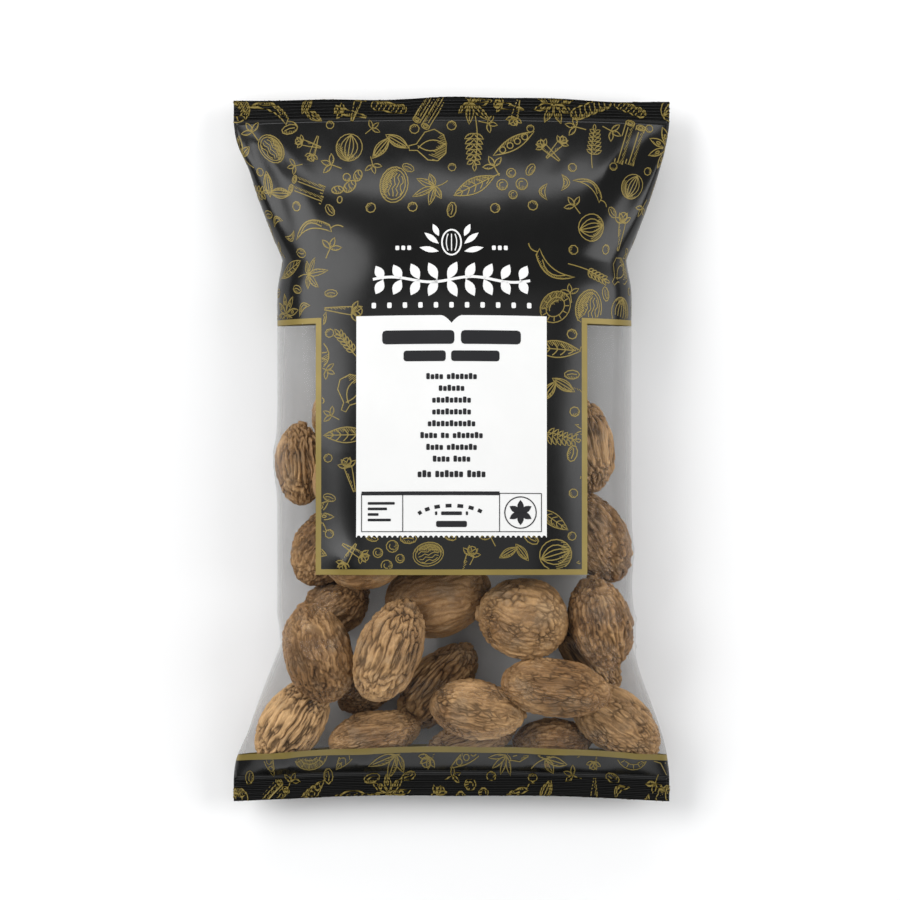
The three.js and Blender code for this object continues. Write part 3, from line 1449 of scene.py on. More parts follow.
@dataclass
class NutmegHeap:
    """All the nuts, settled against each other and the film, then grown."""

    form: PillowForm
    nuts: list[Nutmeg] = field(default_factory=nut_list)
    rounds: int = 420
    press: float = 0.9 * MM
    graze: float = 0.35 * MM
    hold: float = 0.06
    hold_height: float = 0.35
    ease_off: float = 0.75
    crowding: float = 0.6
    slope_step: float = 0.5 * MM
    floor_gap: float = 0.5 * MM
    furrow_depth: float = 0.85 * MM
    net_depth: float = 0.42 * MM
    knot_depth: float = 0.85 * MM
    ends: tuple[float, float] = (0.86, 0.985)
    scar_way: tuple[float, float, float] = (0.16, 0.07, 1.0)
    moat_rim: tuple[float, float] = (0.950, 0.972)
    scar_rim: tuple[float, float] = (0.972, 0.990)
    dimple_rim: tuple[float, float] = (0.9935, 0.9985)
    end_fade: float = 0.25
    rounding: float = 0.6
    cut_share: float = 0.62
    round_share: float = 0.55
    hair_share: float = 0.22
    knot_share: float = -1.6
    seed_step: tuple[float, float, float] = (17.3, 5.1, 9.7)
    moat_dark: float = 0.7
    moat_depth: float = 0.45 * MM
    scar_height: float = 0.5 * MM
    sway: float = 0.18
    sway_scale: float = 0.9
    plumpness: float = 0.985
    taper: float = -0.04
    roll_step: float = 2.4
    wrinkles: Wrinkles = Wrinkles()

    def place(self) -> None:
        """Puts every nut at its chosen place, at its level between the films."""
        for nut in self.nuts:
            x = np.array(nut.across * self.form.flat_width / 2)
            d = np.array(nut.along * self.form.length)
            low = float(self.form.face_height(x, d, False)) + nut.girth / 2
            high = float(self.form.face_height(x, d, True)) - nut.girth / 2
            z = low + (high - low) * nut.level if high > low else (low + high) / 2
            nut.target = np.array([x, d, z])
            nut.centre = nut.target.copy()

    def film_push(self, balls: Array, radii: Array) -> Array:
        """How far the films push each ball, up or down.

        Args:
            balls: The balls' centres, with the film's own distance along in the second column.
            radii: Their radii.

        Returns:
            Shifts of the balls.
        """
        form = self.form
        x, d, z = balls.T
        step = self.slope_step
        shift = np.zeros_like(balls)
        for front, sign in ((True, 1.0), (False, -1.0)):
            face = form.face_height(x, d, front)
            slope_x = (form.face_height(x + step, d, front) - face) / step
            slope_d = (form.face_height(x, d + step, front) - face) / step
            out = np.stack([-slope_x, -slope_d, np.ones_like(x)], axis=1)
            out /= np.linalg.norm(out, axis=1, keepdims=True)
            gap = sign * (face - z) * out[:, 2]
            bite = np.maximum(0, radii - self.press - gap)
            shift -= sign * out * bite[:, None]
        return shift

    def settle(self) -> float:
        """Moves the nuts apart and off the film, staying close to their chosen places.

        Returns:
            The deepest that two nuts still overlap.
        """
        self.place()
        beads = [nut.beads() for nut in self.nuts]
        offsets = np.concatenate([b[0] for b in beads])
        radii = np.concatenate([b[1] for b in beads])
        owner = np.repeat(np.arange(len(self.nuts)), [len(b[1]) for b in beads])
        apart = owner[:, None] != owner[None, :]
        reach = radii[:, None] + radii[None, :] - self.graze
        deepest = 0.0
        for turn in range(self.rounds):
            centres = np.array([nut.centre for nut in self.nuts])
            balls = centres[owner] + offsets
            gaps = balls[:, None] - balls[None, :]
            far = np.linalg.norm(gaps, axis=2).clip(TINY)
            bite = np.where(apart, reach - far, 0).clip(0)
            deepest = float(bite.max())
            push = (gaps / far[:, :, None] * bite[:, :, None]).sum(1) * 0.5
            push += self.film_push(balls, radii)
            hits = (bite > 0).sum(1) + 1
            move = np.zeros_like(centres)
            weight = np.zeros(len(centres))
            np.add.at(move, owner, push)
            np.add.at(weight, owner, (np.abs(push).sum(1) > 0) * hits * self.crowding)
            hold = self.hold * (1 - self.ease_off * turn / self.rounds)
            pull = hold * np.array([1, 1, self.hold_height])
            for i, nut in enumerate(self.nuts):
                nut.centre = nut.centre + move[i] / max(weight[i], 1.0)
                nut.centre = nut.centre + (nut.target - nut.centre) * pull
                nut.centre[2] = max(nut.centre[2], self.floor_gap + nut.girth / 2)
        for nut in self.nuts:
            across = nut.centre[0] / float(self.form.half_width(nut.centre[1]))
            nut.centre[1] = float(self.form.bowed(np.array(across), np.array(nut.centre[1])))
        return deepest

    def shell_tree(self) -> Growth:
        """The tree that grows one nutmeg from its sizes.

        Returns:
            The tree, with named inputs.
        """
        sizes = ("Length", "Girth", "Furrow Depth", "Net Depth", "Knot Depth", "Furrows", "Net",
                 "Knots", "Tone", "Seed")
        tree = Growth("nutmeg_growth", {
            **dict.fromkeys(sizes, float), "Around": int, "Along": int, "Finish": Material})
        given, spot, times = tree.given, tree.spot, tree.times
        ball = tree.add("GeometryNodeMeshUVSphere", {
            "Segments": given["Around"], "Rings": given["Along"], "Radius": 1.0}).outputs["Mesh"]
        own = tree.vector("ADD", spot, tree.scaled(self.seed_step, given["Seed"]))
        marks = self.wrinkles.pattern(tree, own)
        up = tree.split(spot)[2]
        end = tree.ramp(tree.math("ABSOLUTE", up), *self.ends, 1.0, self.end_fade)
        scar_way = tuple(Vector(self.scar_way).normalized())
        toward = tree.vector("DOT_PRODUCT", spot, scar_way, output="Value")
        scar = tree.ramp(toward, *self.scar_rim)
        moat = tree.math("SUBTRACT", tree.ramp(toward, *self.moat_rim), scar)
        dimple = tree.ramp(toward, *self.dimple_rim)
        furrows, net = times(end, given["Furrows"]), times(end, given["Net"])
        rounded = tree.ramp(marks["rise"], 0.0, self.rounding, 1.0, 0.0)
        depth: Any = 0.0
        for mark, tall in (
            (times(marks["furrow"], furrows), times(given["Furrow Depth"], self.cut_share)),
            (times(rounded, furrows), times(given["Furrow Depth"], self.round_share)),
            (times(marks["hair"], furrows), times(given["Furrow Depth"], self.hair_share)),
            (times(marks["net"], net), given["Net Depth"]),
            (times(marks["knot"], given["Knots"]), times(given["Knot Depth"], self.knot_share)),
            (moat, self.moat_depth), (dimple, self.scar_height), (scar, -self.scar_height),
        ):
            depth = tree.times_add(mark, tall, depth)
        sway = tree.math("SUBTRACT", tree.noise(own, self.sway_scale, 1.0), 0.5)
        egg = tree.times_add(up, self.taper, tree.times_add(sway, self.sway, self.plumpness))
        half_girth = times(times(given["Girth"], 0.5), egg)
        body = tree.vector("MULTIPLY", spot, tree.joined(
            half_girth, half_girth, times(given["Length"], 0.5)))
        relief = tree.scaled(spot, times(depth, -1.0))
        shape = tree.store(ball, "shell", own, "FLOAT_VECTOR")
        habit = tree.joined(furrows, net, given["Knots"])
        shape = tree.store(shape, "habit", habit, "FLOAT_VECTOR")
        shape = tree.store(shape, "tone", given["Tone"])
        # Darker in the moat round the scar and in its dimple.
        scar_hollow_dark = tree.math("MAXIMUM", times(moat, self.moat_dark), dimple)
        shape = tree.store(shape, "scar", scar_hollow_dark)
        tree.finish(tree.moved(shape, Position=tree.vector("ADD", body, relief)))
        return tree

    def build(self, finish: Material) -> list[Object]:
        """Grows every nut where it has settled.

        Args:
            finish: The nuts' material.

        Returns:
            The pieces.
        """
        tree = self.shell_tree()
        pieces = []
        for number, nut in enumerate(self.nuts, start=1):
            skin = nut.habit.value
            around, along = nut.view.value
            mesh = tree.grow(nut.name, {
                "Length": nut.length, "Girth": nut.girth, "Furrow Depth": self.furrow_depth,
                "Net Depth": self.net_depth, "Knot Depth": self.knot_depth,
                "Furrows": skin.furrows, "Net": skin.net, "Knots": skin.knots,
                "Tone": skin.tone + nut.tone, "Seed": float(number), "Finish": finish,
                "Around": around, "Along": along,
            })
            upright = Vector((0, 0, 1)).rotation_difference(Vector(nut.axis)).to_matrix().to_4x4()
            roll = Matrix.Rotation(number * self.roll_step, 4, "Z")
            mesh.transform(Matrix.Translation(Vector(nut.centre)) @ upright @ roll)
            pieces.append(show(f"nutmeg_{number:02d}_{nut.name}", mesh, Slot.NUTMEG))
        return pieces


# ---------------------------------------- Line drawings ------------------------------------------


def turned(points: Array, angle: float = 0.0, shift: tuple[float, float] = (0, 0),
           size: float = 1.0) -> Array:
    """Turns, scales and shifts flat points.

    Args:
        points: The points.
        angle: The turn in degrees.
        shift: Where the origin goes.
        size: The scale.

    Returns:
        The moved points.
    """
    c, s = math.cos(math.radians(angle)), math.sin(math.radians(angle))
    return points @ np.array([[c, s], [-s, c]]) * size + np.array(shift)


def oval(wide: float, tall: float, steps: int, start: float = 0, end: float = 360) -> Array:
    """Points round an oval, or along a part of it.

    Args:
        wide: Its whole width.
        tall: Its whole height.
        steps: How many points.
        start: The first point's angle in degrees.
        end: The angle where the points end.

    Returns:
        The points.
    """
    t = np.radians(np.linspace(start, end, steps, endpoint=abs(end - start) < 360))
    return np.stack([np.cos(t) * wide / 2, np.sin(t) * tall / 2], axis=1)


def petal(long: float, wide: float, steps: int, sharp: float = 1.0) -> Array:
    """The outline of a pointed petal from the origin along +X.

    Args:
        long: Its length.
        wide: Its width.
        steps: Points on each side.
        sharp: Above 1 the tip is finer.

    Returns:
        The closed outline.
    """
    t = np.linspace(0, 1, steps + 1)
    side = np.sin(np.pi * t**(1 / sharp)) * wide / 2
    upper = np.stack([t * long, side], axis=1)
    return np.concatenate([upper, (upper * [1, -1])[-2:0:-1]])


def bow(a: tuple[float, float], b: tuple[float, float], sag: float = 0.0, steps: int = 6) -> Array:
    """A line from a to b, bent sideways by sag in its middle.

    Args:
        a: Its start.
        b: Its end.
        sag: How far its middle is off the straight line.
        steps: How many points.

    Returns:
        The points.
    """
    start, run = np.array(a, float), np.array(b, float) - np.array(a, float)
    t = np.linspace(0, 1, steps)[:, None]
    off = np.array([-run[1], run[0]]) / max(float(np.hypot(*run)), TINY)
    return start + run * t + off * sag * 4 * t * (1 - t)


def ring(wide: float, tall: float, steps: int, x: float = 0.0, y: float = 0.0) -> Stroke:
    """A closed oval at a place."""
    return oval(wide, tall, steps) + [x, y], True


def leaf(long: float, wide: float, steps: int, turn: float = 0.0, x: float = 0.0, y: float = 0.0,
         sharp: float = 1.0) -> Stroke:
    """A closed petal that grows from a place at a turn."""
    return turned(petal(long, wide, steps, sharp), turn, (x, y)), True


def line(a: tuple[float, float], b: tuple[float, float], sag: float = 0.0,
         steps: int = 6) -> Stroke:
    """An open line, bent by sag."""
    return bow(a, b, sag, steps), False


def outline(corners: list[list[float]]) -> Stroke:
    """A closed outline of one side's corners and their mirror images."""
    return np.concatenate([np.array(corners), (np.array(corners) * [-1, 1])[::-1]]), True


def copies(strokes: list[Stroke], *spots: tuple[float, ...]) -> list[Stroke]:
    """Repeats strokes.

    Args:
        strokes: The strokes.
        *spots: For each copy its turn, then x, y and scale where they aren't 0, 0 and 1.

    Returns:
        The copies' strokes.
    """
    full = [(*spot, *(0, 0, 0, 1)[len(spot):]) for spot in spots]
    return [(turned(points, turn, (x, y), size), closed)
            for turn, x, y, size in full for points, closed in strokes]


CLOVE: list[Stroke] = [
    outline([[-0.09, 0.12], [-0.07, -0.1], [-0.02, -0.48]]), ring(0.2, 0.17, 10, 0, 0.24),
    *(leaf(0.24, 0.1, 4, turn, 0, 0.1) for turn in (28, 64, 116, 152)),
]

# Spices drawn one unit across, in the order that the scatter numbers them.
LARGE_ART: dict[str, list[Stroke]] = {
    "star_anise": [
        ring(0.08, 0.08, 8),
        *copies([leaf(0.44, 0.15, 6, 0, 0.05), ring(0.10, 0.05, 7, 0.27)],
                *((45 * k + 8,) for k in range(8))),
    ],
    "bay_leaf": [
        leaf(1.0, 0.34, 10, 0, -0.5), line((-0.62, 0), (0.46, 0)),
        *(line((0.16 * k - 0.36, 0),
               (0.16 * k - 0.25, side * 0.13 * math.sin(math.pi * (0.2 + 0.15 * k))),
               0.01 * side, 4) for k in range(5) for side in (1, -1)),
    ],
    "fingered_leaf": [
        line((0, -0.5), (0, -0.12), 0.03),
        *(stroke for turn, long in ((90, 0.62), (40, 0.5), (140, 0.5), (-5, 0.36), (185, 0.36))
          for stroke in copies([leaf(long, 0.17, 7, sharp=1.15),
                                line((0.03, 0), (long * 0.85, 0))], (turn, 0, -0.12))),
    ],
    "clove": CLOVE,
    "chilli": [
        (np.concatenate([bow((-0.34, 0.2), (0.5, -0.14), -0.24, 10),
                         bow((0.5, -0.14), (-0.28, 0.34), 0.15, 10)[1:]]), True),
        line((-0.31, 0.27), (-0.52, 0.42), 0.05), line((-0.2, 0.12), (0.3, -0.14), -0.14),
    ],
    "peppercorns": [
        stroke for x, y, size in ((-0.24, 0.1, 0.26), (0.1, 0.22, 0.22), (0.16, -0.14, 0.28),
                                  (-0.16, -0.24, 0.2))
        for stroke in (ring(size, size, 11, x, y),
                       (oval(size / 2, size / 2, 5, 30, 190) + [x, y], False))
    ],
    "cinnamon": [
        stroke for long, x, y in ((0.46, -0.03, 0.13), (0.42, 0.05, -0.1))
        for stroke in copies([outline([[long, 0.09], [long, -0.09]]), ring(0.12, 0.2, 10, long),
                              ring(0.06, 0.1, 10, long), line((-long, 0.02), (long - 0.1, 0.02))],
                             (18, x, y))
    ],
    "halved_nut": [
        ring(0.78, 0.6, 18), ring(0.66, 0.48, 16),
        *((np.stack([t, y + 0.03 * np.sin(t * 26 + k)], axis=1), False)
          for k, y in enumerate(np.linspace(-0.16, 0.16, 5))
          for t in (np.linspace(-0.26, 0.26, 7) * math.cos(y * 4),)),
    ],
    "grain_ear": [
        line((0, -0.55), (0, 0.3), 0.03, 7),
        *(leaf(0.17, 0.07, 4, 90 - side * 34, side * 0.01, 0.11 * k - 0.08)
          for k in range(5) for side in (1, -1)),
        leaf(0.18, 0.07, 4, 90, 0, 0.42),
    ],
    "cardamom": copies(
        [leaf(0.56, 0.22, 8, 0, -0.28),
         *(line((-0.22, rib * 0.6), (0.22, rib * 0.6), rib * 0.9) for rib in (-0.045, 0, 0.045))],
        (35, -0.16, 0.06), (-48, 0.2, 0.1)),
    "bulb": [
        outline([[0.05, 0.4], [0.07, 0.24], [0.3, 0.04], [0.34, -0.16], [0.2, -0.34], [0, -0.38]]),
        *(line((0.03 * side, 0.22), (0.02 * side, -0.36), -0.14 * side, 8) for side in (1, -1)),
    ],
    "seed_pod": [
        leaf(1.0, 0.26, 9, 0, -0.5), *(ring(0.13, 0.13, 8, 0.18 * k - 0.27) for k in range(4)),
    ],
    "shell_pod": [
        *((np.stack([0.46 * np.cos(t), (0.19 + 0.055 * np.cos(2 * t)) * np.sin(t)], axis=1), True)
          for t in (np.radians(np.arange(0, 360, 20)),)),
        *(line((k * 0.11 - 0.02, -0.11), (k * 0.11 + 0.02, 0.11), 0.02, 4) for k in range(-3, 4)),
    ],
    "root": [
        *(stroke for wide, tall, *spot in (
            (0.3, 0.2, 10, 0, 0), (0.24, 0.17, 40, 0.26, 0.1), (0.24, 0.16, -30, -0.25, 0.08),
            (0.16, 0.15, 80, 0.05, 0.2), (0.14, 0.1, 50, -0.32, -0.12))
          for stroke in copies([ring(wide, tall, 12)], tuple(spot))),
        *(line((x, abs(x) * 0.4 - 0.05), (x + 0.02, abs(x) * 0.4 + 0.06), 0.02, 4)
          for x in (-0.08, 0.0, 0.08, 0.22, 0.3, -0.2, -0.28)),
    ],
    "branch": [
        line((0, -0.6), (0, 0.45), 0.05, 8),
        *(leaf(0.24 - 0.015 * k, 0.09, 4, 90 - side * 58, 0.02, 0.12 * k - 0.22)
          for k in range(6) for side in (1, -1)),
        leaf(0.18, 0.08, 4, 90, 0, 0.44),
    ],
    "split_shell": [
        ring(0.78, 0.64, 20), ring(0.5, 0.38, 14), (oval(0.34, 0.22, 9, 200, 340), False),
        *(line((0.25 * math.cos(a), 0.19 * math.sin(a)), (0.36 * math.cos(a), 0.29 * math.sin(a)),
               0.0, 2) for a in np.radians(range(10, 370, 30))),
    ],
    "round_nut": [
        ring(0.62, 0.66, 18),
        *(line((0, -0.31), (0, 0.31), sag, 7) for sag in (-0.2, -0.1, 0.0, 0.1, 0.2)),
    ],
    "clove_pair": copies(CLOVE, (38, -0.12, 0.02, 0.85), (-52, 0.16, 0.06, 0.85)),
    "kernels": copies(
        [(np.concatenate([bow((-0.2, 0), (0.2, 0), 0.2, 7),
                          bow((0.2, 0), (-0.2, 0), -0.06, 5)[1:-1]]), True),
         line((-0.12, 0.07), (0.12, 0.07), 0.08, 4)],
        (20, -0.17, 0.12), (200, 0.18, -0.12)),
    "pouch": [
        outline([[0.13, 0.06], [0.27, -0.08], [0.3, -0.3], [0.22, -0.42], [0, -0.44]]),
        ring(0.28, 0.07, 10, 0, 0.07),
        *(leaf(0.4, 0.09, 5, turn, 0, 0.08) for turn in (58, 90, 122, 26, 154)),
        *(line((x * 0.8, -0.02), (x * 1.3, -0.3), x * 0.2, 4) for x in (-0.12, 0.0, 0.12)),
    ],
}
SMALL_ART: dict[str, list[Stroke]] = {
    "grain": [ring(0.34, 0.2, 9), line((-0.11, 0), (0.11, 0), 0.02, 3)],
    "corn": [ring(0.2, 0.2, 8)],
    "sprig": [line((0, -0.24), (0, 0.04)),
              *(leaf(0.24, 0.1, 4, turn, 0, -0.02) for turn in (90, 25, 155))],
}


@dataclass(frozen=True)
class Hatching:
    """Short parallel strokes that shade one side of a closed outline, as an engraver would."""

    gap: float = 0.034
    lean: float = 62.0
    reaches: tuple[float, ...] = (0.36, 0.252, 0.306)
    smallest: float = 0.13
    pen_share: float = 0.6

    def shade(self, points: Array, closed: bool) -> list[Stroke]:
        """Shades one stroke, if it is a closed outline and large enough.

        Args:
            points: The stroke's points.
            closed: Whether it joins up.

        Returns:
            The shading's strokes.
        """
        if not closed or np.ptp(points, 0).max() <= self.smallest:
            return []
        flat = turned(points, -self.lean)
        after = np.roll(flat, -1, 0)
        low, high = flat[:, 1].min() + self.gap, flat[:, 1].max() - self.gap / 2
        strokes: list[Stroke] = []
        for k, y in enumerate(np.arange(low, high, self.gap)):
            cut = (flat[:, 1] > y) != (after[:, 1] > y)
            t = (y - flat[cut, 1]) / (after[cut, 1] - flat[cut, 1])
            ends = np.sort(flat[cut, 0] + t * (after[cut, 0] - flat[cut, 0]))
            if len(ends) == 2 and ends[1] - ends[0] > 2 * self.gap:
                reach = (ends[1] - ends[0]) * self.reaches[k % len(self.reaches)]
                mark = np.array([[ends[0], y], [ends[0] + reach, y]])
                strokes.append((turned(mark, self.lean), False))
        return strokes


def ribbon(points: Array, pen: float, closed: bool) -> tuple[Array, Array]:
    """Finds the edges of a line of even width.

    Args:
        points: The line's points.
        pen: Its width.
        closed: Whether it joins up.

    Returns:
        The left and the right edge.
    """
    way = np.gradient(points, axis=0)
    if closed:
        way = np.roll(points, -1, 0) - np.roll(points, 1, 0)
    way /= np.linalg.norm(way, axis=1, keepdims=True).clip(TINY)
    side = np.stack([-way[:, 1], way[:, 0]], axis=1) * pen / 2
    return points + side, points - side


def inked(name: str, strokes: list[Stroke], size: float, pen: float) -> Object:
    """Turns strokes and their shading into flat ribbons, as an object for the scatter to copy.

    Args:
        name: The object's name.
        strokes: The drawing, one unit across.
        size: How many metres one unit is.
        pen: The line's width in metres.

    Returns:
        The object, in no collection yet.
    """
    hatching = Hatching()
    shading = [mark for stroke in strokes for mark in hatching.shade(*stroke)]
    pens = [pen] * len(strokes) + [pen * hatching.pen_share] * len(shading)
    places: list[tuple[float, float, float]] = []
    quads: list[list[int]] = []
    for (points, closed), wide in zip(strokes + shading, pens):
        first, count = len(places), len(points)
        for pair in zip(*ribbon(points * size, wide, closed)):
            places += [(*edge, 0.0) for edge in pair]
        for i in range(count if closed else count - 1):
            a, b = first + 2 * i, first + 2 * ((i + 1) % count)
            quads.append([a, a + 1, b + 1, b])
    return bpy.data.objects.new(name, mesh_of(name, np.array(places), quads))


# ---------------------------------------- Print --------------------------------------------------


class Stencil:
    """Flat shapes on the unrolled film, cut small enough to lie smoothly on it."""

    def __init__(self, name: str, cell: float = 2.4 * MM) -> None:
        """Starts an empty stencil.

        Args:
            name: The mesh's name.
            cell: The largest that a face may be each way.
        """
        self.name = name
        self.cell = cell
        self.mesh = bmesh.new()

    def shape(self, points: Array) -> None:
        """Adds a closed outline, filled.

        Args:
            points: Its corners in order.
        """
        corners = [self.mesh.verts.new((float(x), float(y), 0)) for x, y in points]
        face = self.mesh.faces.new(corners)
        face.normal_update()
        if face.normal.z < 0:
            face.normal_flip()
        bmesh.ops.triangulate(self.mesh, faces=[face])

    def bar(self, x: float, y: float, wide: float, tall: float, corner: float = 0.25) -> None:
        """Adds a bar with rounded corners.

        Args:
            x: Its middle across.
            y: Its middle along.
            wide: Its width.
            tall: Its height.
            corner: Its corner radius as a share of its smaller side.
        """
        r = min(wide, tall) * corner
        points = []
        for k, (cx, cy) in enumerate(((1, 1), (-1, 1), (-1, -1), (1, -1))):
            for turn in (0, 45, 90):
                t = math.radians(90 * k + turn)
                points.append((x + cx * (wide / 2 - r) + r * math.cos(t),
                               y + cy * (tall / 2 - r) + r * math.sin(t)))
        self.shape(np.array(points))

    def words(self, x: float, y: float, widths: list[float], tall: float, gap: float = 0) -> None:
        """Adds a centred row of bars.

        Args:
            x: The row's middle across.
            y: Its middle along.
            widths: The bars' widths.
            tall: Their height.
            gap: The space between them.
        """
        left = x - (sum(widths) + gap * (len(widths) - 1)) / 2
        for wide in widths:
            self.bar(left + wide / 2, y, wide, tall)
            left += wide + gap

    def letters(self, y: float, counts: list[int], tall: float, wide: float, pitch: float = 1.24,
                space: float = 0.7, heights: tuple[float, ...] = (1.0, 0.8, 0.9, 0.8)) -> None:
        """Adds a centred row of plain blocks, one for each letter of each word.

        Args:
            y: The row's middle along.
            counts: How many letters each word has.
            tall: The tallest block's height.
            wide: The blocks' width, without the gap.
            pitch: From block to block, in widths.
            space: Between words, in pitches.
            heights: The blocks' heights, as shares of the tallest.
        """
        step = wide * pitch
        left = -step * (sum(counts) + space * (len(counts) - 1)) / 2
        for count in counts:
            for k in range(count):
                share = heights[(k * 5 + count) % len(heights)]
                self.bar(left + step * (k + 0.5), y - tall * (1 - share) / 2, wide, tall * share)
            left += step * (count + space)

    def line(self, points: Array, pen: float, closed: bool = False) -> None:
        """Adds a line of even width.

        Args:
            points: Its points.
            pen: Its width.
            closed: Whether it joins up.
        """
        left, right = ribbon(points, pen, closed)
        count = len(points)
        for i in range(count if closed else count - 1):
            j = (i + 1) % count
            self.shape(np.array([right[i], right[j], left[j], left[i]]))

    def finish(self) -> Mesh:
        """Cuts everything into cells.

        Returns:
            The flat mesh.
        """
        bmesh.ops.remove_doubles(self.mesh, verts=self.mesh.verts, dist=0.001 * MM)
        for normal in (Vector((1, 0, 0)), Vector((0, 1, 0))):
            spots = [v.co.dot(normal) / self.cell for v in self.mesh.verts]
            for k in range(math.ceil(min(spots)), math.ceil(max(spots))):
                geometry = self.mesh.verts[:] + self.mesh.edges[:] + self.mesh.faces[:]
                bmesh.ops.bisect_plane(self.mesh, geom=geometry, plane_co=normal * k * self.cell,
                                       plane_no=normal, dist=0.0001 * MM)
        mesh = bpy.data.meshes.new(self.name)
        self.mesh.to_mesh(mesh)
        self.mesh.free()
        return mesh


def laid_on_film(tree: Growth, flat: Socket, lift: Socket) -> Socket:
    """Moves flat geometry onto the input named Film, by its map, and drops what misses it.

    Args:
        tree: The tree to build in.
        flat: The flat geometry, in metres on the unrolled film.
        lift: The height over the film.

    Returns:
        The laid geometry.
    """
    sheet = tree.add("GeometryNodeObjectInfo", {"Object": tree.given["Film"]}).outputs["Geometry"]
    source = tree.attribute(UNROLLED, "FLOAT_VECTOR")
    normal = tree.add("GeometryNodeInputNormal").outputs[0]
    where, facing = (
        tree.add("GeometryNodeSampleUVSurface", {
            "Mesh": sheet, "Value": value, "Source UV Map": source, "Sample UV": tree.spot,
        }, data_type="FLOAT_VECTOR").outputs for value in (tree.spot, normal))
    out = tree.scaled(tree.vector("NORMALIZE", facing[0]), lift)
    off = tree.math("SUBTRACT", 1.0, where["Is Valid"])
    marked = tree.store(flat, "off_film", off)
    moved = tree.moved(marked, Position=tree.vector("ADD", where[0], out))
    missing = tree.compare(tree.attribute("off_film", "FLOAT"))
    kept = tree.add("GeometryNodeDeleteGeometry", {"Geometry": moved, "Selection": missing},
                    domain="POINT").outputs[0]
    inputs = {"Geometry": kept, "Name": "off_film"}
    return tree.add("GeometryNodeRemoveAttribute", inputs).outputs[0]


